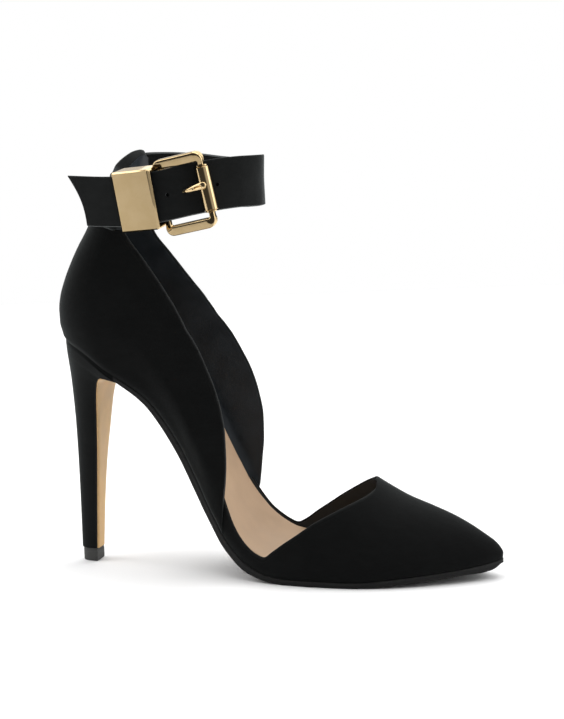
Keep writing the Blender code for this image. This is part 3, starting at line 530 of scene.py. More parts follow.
# soft troughs of the vamp: middle x, height share, half length along, half width across, depth
vampCreases = ((150.0, 0.42, 16.0, 5.0, 0.35), (133.0, 0.45, 12.0, 4.0, 0.30), (176.0, 0.55, 10.0, 6.0, 0.25))
vampShape = dict(rows=44, perStep=5, rim=5, bulge=0.8, peak=1.12, toeStart=213.0, toeLength=12.0, toeShare=0.4,
                 creaseHeight=30.0, turnSteps=1.5, overRidge=99.0, farGap=60.0)


def vampColumns(foot, topX, topZ, side, inset):
    # arch from the sole line towards the ridge: height as sine, width as cosine to a power, of a share of a turn
    shape = vampShape
    v = np.linspace(0, 1, shape["rows"])[None]
    foot, topX, topZ = foot[:, None], topX[:, None], topZ[:, None]
    moved, half = planOffset(foot, side, inset)
    shift = moved - foot
    ridgeShift = 0.5 * (shift + planOffset(foot, -side, inset)[0] - foot)
    x = foot + (topX - foot) * v**2 + shift + (ridgeShift - shift) * v**2
    footZ = soleLine(x)
    crown = ridgeHeight(x) - inset * np.hypot(1, ridgeHeight(x + 0.5) - ridgeHeight(x - 0.5))
    share = np.minimum((topZ - footZ[:, -1:]) / (crown[:, -1:] - footZ[:, -1:]), 1.0)
    turn = np.arcsin(share) * v
    z = footZ + (crown - footZ) * np.sin(turn)
    ridgeY = smoothThrough(vampRidge["x"], vampRidge["y"], x)
    reach = half + halfWidth(x, side) - halfWidth(moved, side) + swell(z - footZ)
    reach = np.maximum(reach, 0.0) * (half > 0)
    lift = (z - footZ) / np.maximum(crown - footZ, 1.0)
    for middle, high, long, wide, depth in vampCreases:
        across = (lift - high) * shape["creaseHeight"] / wide
        reach = reach - depth * np.exp(-((x - middle) / long)**2 - across**2)
    y = ridgeY + (side * reach - ridgeY) * np.cos(turn)**shape["peak"]
    forward = easeFrom(foot, shape["toeStart"], shape["toeLength"]) * swell(z - footZ) * shape["toeShare"]
    return np.stack((x + forward * (inset == 0), y, z), axis=2)


def makeVamp():
    # columns from the toe point back on each side, as one wall; ahead of the throat the sides meet without a rim
    shape, rows, per = vampShape, vampShape["rows"], vampShape["perStep"]
    points, quads, looks, gaps, alongs = [], [], [], [], []
    start = 0
    front = (len(vampFeet) - 1) * per
    for side in (-1, 1):
        top = vampTop[side]
        index = np.arange(len(vampFeet), dtype=float)
        fine = np.linspace(0, len(vampFeet) - 1, front + 1)
        feet = smoothThrough(index, vampFeet, fine)
        heads = smoothThrough(index, np.append(vampFeet[:-1], top["x"][0]), fine)
        heads = np.where(fine < len(vampFeet) - 2, feet, heads)
        tops = np.full(len(fine), shape["overRidge"])
        index = np.arange(len(top["foot"]), dtype=float)
        fine = np.linspace(0, len(index) - 1, (len(index) - 1) * per + 1)[1:]
        feet, heads, tops = (np.concatenate((a, smoothThrough(index, top[key], fine)))
                             for a, key in ((feet, "foot"), (heads, "x"), (tops, "z")))
        outer, inner = (vampColumns(feet, heads, tops, side, inset) for inset in (0.0, wall))
        away = easeFrom(np.arange(len(feet)), front, shape["turnSteps"] * per)[:, None]
        rise = unit(outer[:, -1] - outer[:, -3])
        way = unit(rise * away + np.array((-1.0, 0, 0)) * (1 - away))
        ring = rimmed(outer, inner, way, shape["rim"], shape["bulge"])
        count, size = ring.shape[:2]
        faces = gridQuads(count, size, closeCols=True).reshape(count - 1, size, 4)
        keep = np.ones((count - 1, size), bool)
        keep[:front, rows - 1:size - rows] = False
        look = np.zeros((count - 1, size), int)
        look[:, size - rows:] = 1
        quads += [faces[keep] + start, endCap((count - 1) * size, size) + start]
        looks += [look[keep], np.zeros(size // 2 - 1, int)]
        gap = edgeDistance(ring, rows)
        gap[:front] = shape["farGap"]
        points.append(ring.reshape(-1, 3))
        gaps.append(gap.reshape(-1))
        alongs.append(alongEdge(ring, rows).reshape(-1))
        start += count * size
    marks = dict(edgeGap=np.concatenate(gaps), along=np.concatenate(alongs))
    return addPiece("vamp", np.concatenate(points), np.concatenate(quads), (suedeUpper, lining),
                    ("upper",), np.concatenate(looks), marks)


# ankle strap: middle line in plan, top edge and lean towards the foot, from the buckle's bar to the tail
strapPath = table("x y top lean", (
    (65.6, -28.8, 205.3, 0.0), (55.0, -27.1, 203.7, 0.0), (45.0, -24.6, 202.5, 3.0),
    (36.8, -19.9, 201.6, 14.0), (31.0, -12.0, 201.4, 27.0), (28.8, 0.0, 203.8, 30.0), (32.6, 12.2, 208.2, 28.0),
    (38.8, 20.2, 210.0, 15.0), (51.0, 26.3, 209.8, 4.0), (66.0, 28.2, 208.8, 0.0), (80.0, 24.6, 207.6, 0.0),
    (92.5, 16.0, 207.6, 0.0), (103.0, 6.0, 209.0, 0.0), (109.2, -2.6, 210.4, 0.0), (110.3, -9.0, 211.0, 0.0),
    (107.4, -15.6, 211.3, 1.0), (101.4, -21.6, 211.3, 3.0), (92.0, -27.4, 210.4, 5.0), (80.0, -31.0, 208.4, 4.0),
    (67.5, -32.3, 205.8, 1.2), (54.0, -30.8, 203.6, 0.0), (37.4, -28.4, 202.7, 0.0), (13.6, -24.2, 203.1, 0.0)))
strapShape = dict(width=25.0, thick=2.4, corner=0.55, strips=26, turns=5, perRow=9, waveFade=2.6,
                  tailRow=20.0, tailEnd=21.90, tailCut=0.42, tailHollow=0.09)
# holes of the strap: row, half length, half height, depth past the middle
strapHoles = ((16.8, 0.95, 0.95, 0.2), (18.04, 1.1, 0.8, 4.0), (18.75, 0.95, 0.95, 0.2))
holeRod = dict(sides=24, out=4)
loopShape = dict(first=8 / 3, last=7.18, clear=0.4, wall=1.3, steps=60, corner=2.6, strips=22, turns=5,
                 innerCorner=0.5, outerCorner=1.5, rowLength=11.0, endSteps=4, endBulge=0.5)


def strapFrame(row):
    # middle of the strap with its tangent, the direction of its upper edge and its outward normal
    row = np.asarray(row, float)
    rows = np.stack([strapPath[key] for key in ("x", "y", "top", "lean")], axis=1)
    place = curveThrough(rows, row)
    step = curveThrough(rows, row + 0.02) - curveThrough(rows, row - 0.02)
    flat = unit(step[..., :2])
    inward = np.stack((flat[..., 1], -flat[..., 0], np.zeros(row.shape)), axis=-1)
    lean = np.radians(place[..., 3:])
    tangent = unit(step[..., :3])
    up = np.array((0.0, 0.0, 1.0)) * np.cos(lean) + inward * np.sin(lean)
    up = unit(up - tangent * np.sum(up * tangent, axis=-1, keepdims=True))
    centre = place[..., :3].copy()
    centre[..., 2] -= 0.5 * strapShape["width"] * np.cos(lean[..., 0])
    return centre, tangent, up, np.cross(up, tangent)


# quarter: back seam, half width and round of the back by height, and its front edge up to the tab's corner
backSeam = table("z x", (
    (116.5, 2.0), (121.5, 1.3), (127.0, 0.2), (133.0, 0.2), (140.0, 1.2), (148.0, 3.8), (157.0, 7.8),
    (165.5, 12.3), (173.5, 17.2), (181.0, 21.2)))
quarterWall = table("z half round", (
    (20.0, 25.0, 26.0), (45.0, 26.0, 26.0), (62.0, 26.2, 26.0), (90.0, 25.2, 26.0), (105.0, 24.6, 26.0),
    (120.0, 24.0, 26.2), (135.0, 22.4, 24.5), (150.0, 20.4, 20.5), (165.0, 20.0, 18.5), (180.0, 20.8, 17.5)))
quarterEdge = {
    -1: table("foot x z", (
        (89.0, 91.0, 42.3), (87.0, 92.2, 51.0), (84.6, 92.8, 61.0), (82.0, 92.6, 73.0), (79.0, 91.0, 85.0),
        (75.4, 87.9, 96.5), (71.2, 83.4, 108.0), (66.0, 77.1, 121.0), (59.5, 69.8, 133.5),
        (52.5, 61.6, 146.0), (45.5, 52.6, 158.9), (39.5, 45.0, 169.3), (34.5, 41.3, 174.6), (31.0, 38.4, 175.0))),
    1: table("foot x z", (
        (89.0, 93.4, 36.4), (87.2, 94.9, 50.0), (84.8, 96.1, 61.0), (82.1, 96.3, 73.0), (79.1, 94.5, 85.5),
        (75.5, 91.2, 97.0), (71.3, 85.8, 108.5), (66.0, 78.3, 121.0), (59.5, 69.7, 133.5),
        (52.5, 60.7, 146.0), (45.5, 51.4, 158.1), (39.5, 43.5, 168.2), (34.5, 40.2, 175.8), (31.0, 38.6, 181.0)))}
quarterShape = dict(rows=60, perStep=5, rim=5, bulge=0.7, overlay=0.7, tuck=2.2, blendHeight=28.0, roundEnd=28.0,
                    power=2.2, tabGap=-0.9, seam=-0.25, angles=(90.0, 74.0, 58.0, 43.0, 28.0, 14.0, 0.0))


def tabTop(y):
    # height of the loop's lower edge over each y, overlapped a little
    row = np.linspace(loopShape["first"], loopShape["last"], 40)
    centre, _, up, _ = strapFrame(row)
    bottom = centre - up * (0.5 * strapShape["width"] + loopShape["clear"] + loopShape["wall"])
    return np.interp(y, bottom[:, 1], bottom[:, 2]) - quarterShape["tabGap"]


def quarterColumns(angle, aheadFoot, aheadTop, topZ, side, inset):
    # upright columns round the back: x as a power of cosine, y as that power of sine, pushed ahead at the sides
    shape = quarterShape
    v = np.linspace(0, 1, shape["rows"])[None]
    cos, sin = (np.abs(f(np.radians(angle)))[:, None]**(2 / shape["power"]) for f in (np.cos, np.sin))
    cos = np.where(angle[:, None] > 89.99, 0.0, cos)
    footX = shape["roundEnd"] - (shape["roundEnd"] - backSeam["x"][0]) * cos + aheadFoot[:, None]
    footZ = soleLine(footX) + shape["seam"]
    z = footZ + (topZ[:, None] - footZ) * v
    depth = smoothThrough(quarterWall["z"], quarterWall["round"], z)
    back = smoothThrough(backSeam["z"], backSeam["x"], z)
    outside = shape["overlay"] * ease((z - footZ) / shape["tuck"]) if inset == 0 else 0.0      # tucked in below
    ahead = aheadFoot[:, None] + (aheadTop - aheadFoot)[:, None] * v
    x = back + depth - (depth - inset + outside) * cos + ahead
    height = z - soleLine(x)
    foot = halfWidth(x, side)
    wide = smoothThrough(quarterWall["z"], quarterWall["half"], z)
    half = foot + (wide - foot) * ease(height / shape["blendHeight"]) + swell(height)
    return np.stack((x, side * (half - inset + outside) * sin, z), axis=2)


def quarterSide(side, inset):
    # columns from the front edge to the middle of the back, smoothed between their rows
    shape, edge = quarterShape, quarterEdge[side]
    half = quarterWall["half"][-1]
    angles = np.array(shape["angles"])
    topZ = np.minimum(edge["z"], tabTop(side * half))
    depth = smoothThrough(quarterWall["z"], quarterWall["round"], topZ)
    aheadTop = edge["x"] - smoothThrough(backSeam["z"], backSeam["x"], topZ) - depth
    heelTop = tabTop(side * half * np.abs(np.sin(np.radians(angles)))**(2 / shape["power"]))
    none = np.zeros(len(angles))
    given = (np.concatenate((np.full(len(topZ), 90.0), angles)),
             np.concatenate((edge["foot"] - shape["roundEnd"], none)),
             np.concatenate((aheadTop, none)), np.concatenate((topZ, heelTop)))
    index = np.arange(len(given[0]), dtype=float)
    fine = np.linspace(0, len(index) - 1, (len(index) - 1) * shape["perStep"] + 1)
    return quarterColumns(*(smoothThrough(index, values, fine) for values in given), side, inset)


def makeQuarter():
    # both sides' columns as one wall, with a rounded rim
    shape, rows = quarterShape, quarterShape["rows"]
    outer, inner = (np.concatenate((quarterSide(-1, inset), quarterSide(1, inset)[-2::-1]))
                    for inset in (0.0, wall))
    ring = rimmed(outer, inner, unit(outer[:, -1] - outer[:, -3]), shape["rim"], shape["bulge"])
    count, size = ring.shape[:2]
    look = np.zeros((count - 1, size), int)
    look[:, size - rows:] = 1
    looks = np.concatenate((look.reshape(-1), np.zeros(2 * (size // 2 - 1), int)))
    marks = dict(edgeGap=edgeDistance(ring, rows), along=alongEdge(ring, rows))
    return addPiece("quarter", ring, loftQuads(count, size), (suedeUpper, lining), ("upper",),
                    looks, marks)


makeVamp()
makeQuarter()
print("upper made")

# waistIn, waistOut, fallOver and seatOver say where a change along x starts and its length
insoleShape = dict(toe=212.0, steps=110, heelTurn=(6, 84), heelSteps=24, across=28, thick=4.6, pad=2.4, cup=2.4,
                   edgeRise=0.7, edgeRound=0.9, edgePower=40, edgeRoom=-0.2, archRise=5.0, archFall=2.2,
                   waistIn=(40, 30), waistOut=(125, 35), fallOver=(98, 22), seatOver=(34, 8), seatIn=1.4,
                   seatLift=1.2, leastHalf=0.3, underGap=30, calmSteps=(-10, -6, -3, 0, 3, 6, 10))


def makeInsole():
    # closed ring at each section: flat underneath, on top a shallow hollow that rises to the edges at the waist
    shape = insoleShape
    roundEnd, power = quarterShape["roundEnd"], quarterShape["power"]
    depth = roundEnd - backSeam["x"][0]
    turn = np.radians(np.linspace(*shape["heelTurn"], shape["heelSteps"]))
    heelX = roundEnd - depth * np.cos(turn)**(2 / power)
    x = np.concatenate((heelX, np.linspace(roundEnd, shape["toe"], shape["steps"])))[:, None]
    a = np.sin(np.linspace(-np.pi / 2, np.pi / 2, 2 * shape["across"] + 1))[None]
    inset = wall + meetGap
    cos = np.clip((roundEnd - x) / depth, 0, 1)
    waist = easeFrom(x, *shape["waistIn"]) * (1 - easeFrom(x, *shape["waistOut"]))
    middle = shape["thick"] + shape["pad"] * waist
    parts = []
    for side in (-1, 1):
        moved, half = planOffset(x, side, inset)
        heelHalf = (halfWidth(x, side) - inset) * (1 - cos**power)**(1 / power)
        half = np.where(x < roundEnd, heelHalf, half)
        moved = np.where(x < roundEnd, roundEnd - (depth - inset) * cos, moved)
        calm = np.mean([steepness(moved + step) for step in shape["calmSteps"]], axis=0)   # an even thickness
        rise = shape["edgeRise"]
        if side > 0:
            rise = shape["archRise"] - shape["archFall"] * easeFrom(moved, *shape["fallOver"])
        edge = (middle + rise * waist) * calm
        if side > 0:      # the edge keeps to the band's own
            band = smoothThrough(vampTop[1]["x"][::-1], vampTop[1]["z"][::-1], moved) - soleLine(moved)
            edge = np.where(moved > vampTop[1]["x"][-1], np.minimum(edge, band - shape["edgeRoom"]), edge)
        parts.append((moved, half, middle * calm, edge))
    right = (a > 0) * 1.0
    moved, half, mid, edge = (lat * (1 - right) + med * right for lat, med in zip(*parts))
    foot = soleLine(moved)
    off = np.abs(a)
    top = mid + (edge - mid) * off**shape["cup"] - shape["edgeRound"] * off**shape["edgePower"]
    upper = np.stack((moved, (half + 0.5 * swell(edge)) * a, foot + top), axis=2)
    seat = 1 - easeFrom(moved, *shape["seatOver"])      # over the heel the underside draws in
    lowHalf = np.maximum(half - shape["seatIn"] * seat, shape["leastHalf"])
    lower = np.stack((moved, lowHalf * a, foot + shape["seatLift"] * seat), axis=2)
    ring = np.concatenate((lower, upper[:, ::-1]), axis=1)
    gap = (1 - off) * half
    marks = dict(edgeGap=np.concatenate((gap + shape["underGap"], gap[:, ::-1]), axis=1))
    return addLoft("insolePad", ring, (tanInsole,), ("insole",), marks)


# runs are where the sections lie: from, to and how many; each pair is a start along x and a length
outsoleShape = dict(runs=((33.2, 215, 150), (215.6, 226.1, 36)), proud=0.25, lip=0.45, groove=0.1, step=0.2,
                    bevel=0.4, toeBevel=1.3, bevelOver=(214, 10), arch=1.15, archIn=(31, 3), archOut=(98, 20),
                    toeDrop=0.9, dropIn=(208, 10), dropOut=(221, 5), tipLift=(222.5, 3.6), flat=4)
outsoleEdgeGaps = (9, 0.3, 0, 0.2, 0.5, 0.9, 0.1, 0.6, 9)      # each line's distance from a lighter line of wear with a painted highlight


def makeOutsole():
    # closed ring at each section: proud lip, fine groove and a bevel down to the tread, the same on both sides
    shape = outsoleShape
    x = np.concatenate([np.linspace(*run) for run in shape["runs"]])[:, None]
    sides = []
    for side in (-1, 1):
        moved, half = planOffset(x, side, -shape["proud"])
        moved = np.maximum(moved, x[0])
        half = np.maximum(half, shape["proud"])
        top = soleLine(moved) - meetGap
        waist = easeFrom(moved, *shape["archIn"]) * (1 - easeFrom(moved, *shape["archOut"]))
        drop = easeFrom(moved, *shape["dropIn"]) * (1 - easeFrom(moved, *shape["dropOut"]))
        toe = drop - easeFrom(moved, *shape["tipLift"])
        thick = top - under(moved) + shape["arch"] * waist * steepness(moved) + shape["toeDrop"] * toe
        bevel = shape["bevel"] + (shape["toeBevel"] - shape["bevel"]) * easeFrom(moved, *shape["bevelOver"])
        tuck, bevel = np.minimum(shape["step"], half * 0.3), np.minimum(bevel, half * 0.5)
        insets = (shape["flat"], 0.25, 0, 0, 0.18, tuck, tuck + bevel * 0.25, tuck + bevel, shape["flat"])
        inset = np.concatenate([value + 0 * half for value in insets], axis=1)
        lip = shape["lip"]
        down = np.array((0, 0, 0.1, lip - 0.06, lip, lip + shape["groove"], 0.82, 1.0, 1.0))
        reach = np.maximum(half - np.minimum(inset, half * 0.9), 0.0)
        edge = np.stack((moved + 0 * reach, side * reach, top - thick * down), axis=2)
        sides.append(edge if side > 0 else edge[:, ::-1])
    ring = np.concatenate(sides, axis=1)
    gap = np.repeat([outsoleEdgeGaps[::-1] + outsoleEdgeGaps], len(x), axis=0)
    return addLoft("leatherSole", ring, (soleEdge,), ("outsole",), dict(edgeGap=gap), 50)


makeInsole()
makeOutsole()
print("insole and outsole made")

# heel: rings from the tip to the seat, each from its back to its front
heelRows = table("backX backZ frontX frontZ half", (
    (3.6, 7.1, 12.9, 7.1, 4.9), (3.9, 33.0, 14.6, 33.0, 5.9), (4.05, 54.0, 16.3, 54.0, 7.5),
    (4.0, 72.0, 18.0, 71.0, 9.9), (3.55, 89.0, 19.6, 87.0, 12.8), (3.05, 99.0, 20.8, 93.5, 14.7),
    (2.5, 105.5, 22.2, 97.6, 16.4), (1.9, 111.5, 24.8, 99.6, 18.2), (1.5, 117.0, 33.7, 98.2, 21.0),
    (1.9, 119.2, 33.9, 98.1, 20.8)))
heelShape = dict(levels=110, around=49)
breastShape = dict(top=7.35, levels=90, across=13, thick=0.9, margin=0.5, corner=5.0, edgePower=10, edgeFall=0.5)
# top lift: height, and its share of the heel tip's oval
liftRows = table("z scale", (
    (0.0, 0.90), (0.1, 0.94), (0.35, 0.965), (0.8, 0.975), (2.0, 0.98), (4.0, 0.985), (5.6, 0.99), (6.0, 0.94),
    (6.4, 0.99), (6.8, 0.99)))
liftShape = dict(around=41, ahead=0.5)


def heelRings(level, around):
    # half an oval from one front corner round the back to the other, bent to the seat's curve towards the top
    last = len(heelRows["half"]) - 1
    level = np.asarray(level, float)[:, None]
    index = np.arange(last + 1, dtype=float)
    backX, backZ, frontX, frontZ, half = (smoothThrough(index, heelRows[key], level) for key in heelRows)
    turn = np.radians(np.linspace(-90, 90, around))[None]
    power = 2 / quarterShape["power"]
    share = 1 - np.abs(np.cos(turn))**power
    share[:, [0, -1]] = 1.0
    x = backX + (frontX - backX) * share
    y = half * np.sign(turn) * np.abs(np.sin(turn))**power
    seat = soleLine(x) - meetGap
    seatChord = soleLine(backX) + (soleLine(frontX) - soleLine(backX)) * share - meetGap
    bend = ease(level / last)**3
    z = backZ + (frontZ - backZ) * share + (seat - seatChord) * bend
    z = np.where(level >= last, seat, z)
    return np.stack((x, y, z), axis=2)


def makeHeel():
    # the half ovals from the tip to the seat, closed by the flat front
    level = np.linspace(0, len(heelRows["half"]) - 1, heelShape["levels"])
    ring = heelRings(level, heelShape["around"])
    gap = np.minimum(np.abs(ring[:, :1, 0] - ring[..., 0]) + 0.2, 30)
    return addLoft("heelCover", ring, (suedeHeel,), ("heel",), dict(edgeGap=gap), 50)


def makeBreast():
    # strip over the flat front of the heel: its section is a thin slab with rounded edges
    shape, n = breastShape, breastShape["across"]
    front = heelRings(np.linspace(0, shape["top"], shape["levels"]), 3)[:, -1]
    lean = unit(np.gradient(front[:, [0, 2]], axis=0))
    out = np.stack((lean[:, 1], np.zeros(len(lean)), -lean[:, 0]), axis=1)[:, None]
    near = np.linalg.norm(front[-1] - front, axis=1)[:, None]
    r = shape["corner"]
    half = front[:, 1:2] - shape["margin"] - r + np.sqrt(np.maximum(r**2 - np.maximum(r - near, 0)**2, 0))
    there, back = np.linspace(-1, 1, n), np.linspace(1, -1, n)
    side = np.concatenate((there, back))[None]
    slab = shape["thick"] * (1 - np.abs(back)**shape["edgePower"] * shape["edgeFall"])
    depth = np.concatenate((np.zeros(n), slab))[None]
    base = front[:, None] * np.array((1.0, 0.0, 1.0))
    ring = base + out * (meetGap + depth)[..., None] + (half * side)[..., None] * np.array((0.0, 1.0, 0.0))
    gap = half * (1 - np.abs(side))
    return addLoft("heelBreast", ring, (tanBreast,), ("heel_breast",), dict(edgeGap=gap), 50)


def makeLift():
    # the heel tip's oval, a little smaller, with its lower edge rounded
    base = heelRings([0.0], liftShape["around"])[0]
    middle = np.array(((base[:, 0].min() + base[:, 0].max()) / 2, 0.0, 0.0))
    ahead = np.array((liftShape["ahead"], 0.0, 0.0))
    ring = middle + (base - middle)[None] * liftRows["scale"][:, None, None] + ahead
    ring[..., 2] = liftRows["z"][:, None]
    return addLoft("topLift", ring, (liftRubber,), ("top_lift",))


makeHeel()
makeBreast()
makeLift()
print("heel made")


def stripOutline(width, thick, corner, strips, turns):
    # rounded strip as (height, depth) pairs, up the outer face and down the inner one
    w, t = width / 2, thick / 2
    bow = np.linspace(0, np.pi / 2, turns)
    flank = np.linspace(corner - w, w - corner, strips + 1)
    upper = np.stack((w - corner + corner * np.sin(bow), t - corner + corner * np.cos(bow)), axis=1)
    outer = np.concatenate((np.stack((flank[:-1], np.full(strips, t)), axis=1), upper))
    return np.concatenate((outer, -outer))


# soft waves of the strap: row, half length in rows, height share they fade over, depth
strapWaves = ((14.1, 0.9, -0.5, 0.75), (14.2, 0.9, 0.5, 0.75), (15.6, 0.4, 0.3, 0.25),
              (16.5, 0.4, -0.3, -0.22), (12.4, 0.6, 0.2, 0.35), (20.7, 0.4, 0.1, 0.25))


def makeStrap():
    # flat strip along the path; past the tail's row the rings slant to the hollow-cut end
    shape, tail = strapShape, strapShape["tailRow"]
    outline = stripOutline(*(shape[key] for key in ("width", "thick", "corner", "strips", "turns")))
    height, depth = outline[None, :, 0], outline[None, :, 1]
    row = np.linspace(0, tail + 1, int((tail + 1) * shape["perRow"]) + 1)[:, None]
    low = 0.5 - height / shape["width"]
    end = shape["tailEnd"] - shape["tailCut"] * low - shape["tailHollow"] * np.sin(np.pi * low)
    at = np.where(row <= tail, row, tail + (row - tail) * (end - tail))
    centre, _, up, out = strapFrame(at)
    wave = sum(deep * np.exp(-((at - where) / long)**2 - ((low - 0.5 - fade) * shape["waveFade"])**2)
               for where, long, fade, deep in strapWaves)
    ring = centre + up * height[..., None] + out * (depth + wave)[..., None]
    step = np.linalg.norm(np.diff(ring.mean(axis=1), axis=0), axis=1)
    run = np.concatenate(([0.0], np.cumsum(step)))[:, None]
    across = shape["width"] / 2 - np.abs(height)
    gap = np.minimum(across + 0 * row, run[-1] - run + 0 * across)
    marks = dict(edgeGap=gap, along=run + 0 * across)
    strap = addLoft("ankleStrap", ring, (suedeStrap,), ("ankle_strap",), marks, 55)
    punchHoles(strap)
    return strap


def punchHoles(strap):
    # oval rods along the strap's normal are taken out of it, and the result is kept as its mesh
    sides = holeRod["sides"]
    turn = np.linspace(0, 2 * np.pi, sides, endpoint=False)[:, None]
    faces = [tuple(q) for q in gridQuads(2, sides, closeCols=True)]
    faces += [tuple(range(sides)), tuple(range(sides, 2 * sides))]
    cutters = []
    for row, long, tall, deep in strapHoles:
        centre, tangent, up, out = (v[0] for v in strapFrame([row]))
        oval = centre + tangent * np.cos(turn) * long + up * np.sin(turn) * tall
        ring = np.stack((oval - out * deep, oval + out * holeRod["out"]))
        mesh = bpy.data.meshes.new("holeRod")
        mesh.from_pydata((ring.reshape(-1, 3) + toFrame) * mm, [], faces)
        cleanMesh(mesh)
        cutter = bpy.data.objects.new("holeRod", mesh)
        bpy.context.collection.objects.link(cutter)
        cut = strap.modifiers.new("hole", "BOOLEAN")
        cut.operation, cut.solver, cut.object = "DIFFERENCE", "EXACT", cutter
        cutters.append(cutter)
    graph = bpy.context.evaluated_depsgraph_get()
    punched = bpy.data.meshes.new_from_object(strap.evaluated_get(graph), depsgraph=graph)
    strap.modifiers.clear()
    strap.data = punched
    for cutter in cutters:
        bpy.data.objects.remove(cutter, do_unlink=True)


def makeLoop():
    # sleeve round the strap: outer strip, rounded ends, inner strip
    shape, steps, more = loopShape, loopShape["steps"], loopShape["endSteps"]
    wide, deep = (strapShape[key] + 2 * shape["clear"] for key in ("width", "thick"))
    strips, turns = shape["strips"], shape["turns"]
    inner = stripOutline(wide, deep, shape["innerCorner"], strips, turns)
    outer = stripOutline(wide + 2 * shape["wall"], deep + 2 * shape["wall"], shape["outerCorner"], strips, turns)
    row = np.linspace(shape["first"], shape["last"], steps)
    centre, tangent, up, out = (v[:, None] for v in strapFrame(row))
    far = np.minimum(row - row[0], row[-1] - row)[:, None, None] * shape["rowLength"]
    r = shape["corner"]
    full = r - np.sqrt(np.maximum(r**2 - np.maximum(r - far, 0)**2, 0))
    fit = 1 - full / (wide / 2 + shape["wall"])
    skins = [centre + up * o[None, :, :1] * fit + out * o[None, :, 1:] for o in (outer, inner)]
    turn = np.linspace(0, np.pi, more + 2)[1:-1, None, None]
    ends = []
    for k, sign in ((0, -1), (-1, 1)):
        mid, half = (skins[0][k] + skins[1][k]) / 2, (skins[0][k] - skins[1][k]) / 2
        swing = turn if sign > 0 else np.pi - turn
        ends.append(mid + half * np.cos(swing) + tangent[k] * sign * shape["endBulge"] * np.sin(swing))
    ring = np.concatenate((skins[0], ends[1], skins[1][::-1], ends[0]))
    size = len(inner)
    run = np.concatenate((np.arange(steps), np.full(more, steps), np.arange(steps)[::-1], np.zeros(more)))
    gap = np.minimum(run, steps - 1 - np.minimum(run, steps - 1))[:, None] + np.zeros(size)[None]
    quads = gridQuads(len(ring), size, closeRows=True, closeCols=True)
    look = np.zeros((len(ring), size), int)
    look[steps + more:2 * steps + more - 1] = 1
    look[:steps - 1, size // 2:][:, :strips] = 1      # the flat side to the ankle is lined
    return addPiece("strapLoop", ring, quads, (suedeHeel, loopLining), ("strap_loop",),
                    look.reshape(-1), dict(edgeGap=gap))


makeStrap()
makeLoop()
print("strap and loop made")

buckleShape = dict(bar=np.array((66.9, -28.8, 191.8)), roller=np.array((90.8, -32.6, 196.94)), half=16.4,
                   corner=2.8, cornerSteps=14, side=2.5, thin=1.4, sides=24, square=5.0, tilt=9.0, plain=0.8)
rollerShape = dict(radius=3.4, bore=1.75, half=11.6, sides=40)
# roller's profile: share of its half length, share of its radius
rollerRows = table("along share", (
    (-1, 0), (-1, 0.78), (-0.985, 0.87), (-0.94, 0.87), (-0.93, 0.78), (-0.92, 0.92), (-0.90, 1), (0.90, 1),
    (0.92, 0.92), (0.93, 0.78), (0.94, 0.87), (0.985, 0.87), (1, 0.78), (1, 0), (1, 0), (-1, 0)))
prongRows = table("along out rise width thick", (
    (-9.8, -0.2, 0.6, 2.2, 1.4), (-6.0, -0.7, 0.7, 2.2, 1.4), (-2.6, -0.6, 0.8, 1.3, 1.2),
    (-0.2, 1.3, 0.85, 1.3, 1.2), (3.2, 2.7, 1.05, 2.0, 1.4), (7.0, 3.6, 1.35, 2.7, 1.7),
    (10.4, 4.2, 1.6, 3.3, 1.9), (12.6, 4.5, 1.75, 3.5, 2.0), (14.8, 4.3, 1.9, 3.0, 1.8)))
prongShape = dict(steps=70, sides=40, square=2.8, tipRow=7.4, tipRows=0.6, slotStart=6.8, slotEnd=12.6,
                  slotIn=1.2, slotOut=0.8, slotHalf=0.42, slotDeep=0.8)
# rim: how far inside the keeper's face and how far from its end each line of the rolled end lies
keeperShape = dict(centre=np.array((55.2, -28.7, 191.7)), along=np.array((1.0, -0.19, 0.1)), length=22.0,
                   height=30.0, depth=12.6, wall=1.5, bevel=0.7, leastBevel=0.2, tilt=6.5, bright=0.3,
                   rim=((1.2, 0.0), (1.05, 0.1), (0.16, 1.0), (0.04, 1.2), (0.0, 1.5)))


def levelAxes(direction):
    # the direction, the way up from it and the level way out, each of length 1
    along = unit(direction)
    out = unit(np.array((along[1], -along[0], 0.0)))
    return along, np.cross(out, along), out


def tilted(up, out, degrees):
    # both turned about the third axis, so that the outer face looks down a little
    cos, sin = math.cos(math.radians(degrees)), math.sin(math.radians(degrees))
    return up * cos + out * sin, out * cos - up * sin


def ovalRing(centre, one, two, radius, sides, power=2.0):
    # superellipse round each centre, along two directions
    turn = np.linspace(0, 2 * np.pi, sides, endpoint=False)[None, :, None]
    cos, sin = (np.sign(f(turn)) * np.abs(f(turn))**(2 / power) for f in (np.cos, np.sin))
    one, two = (np.broadcast_to(way, centre.shape)[:, None] for way in (one, two))
    return centre[:, None] + (one * cos + two * sin) * np.broadcast_to(radius, len(centre))[:, None, None]


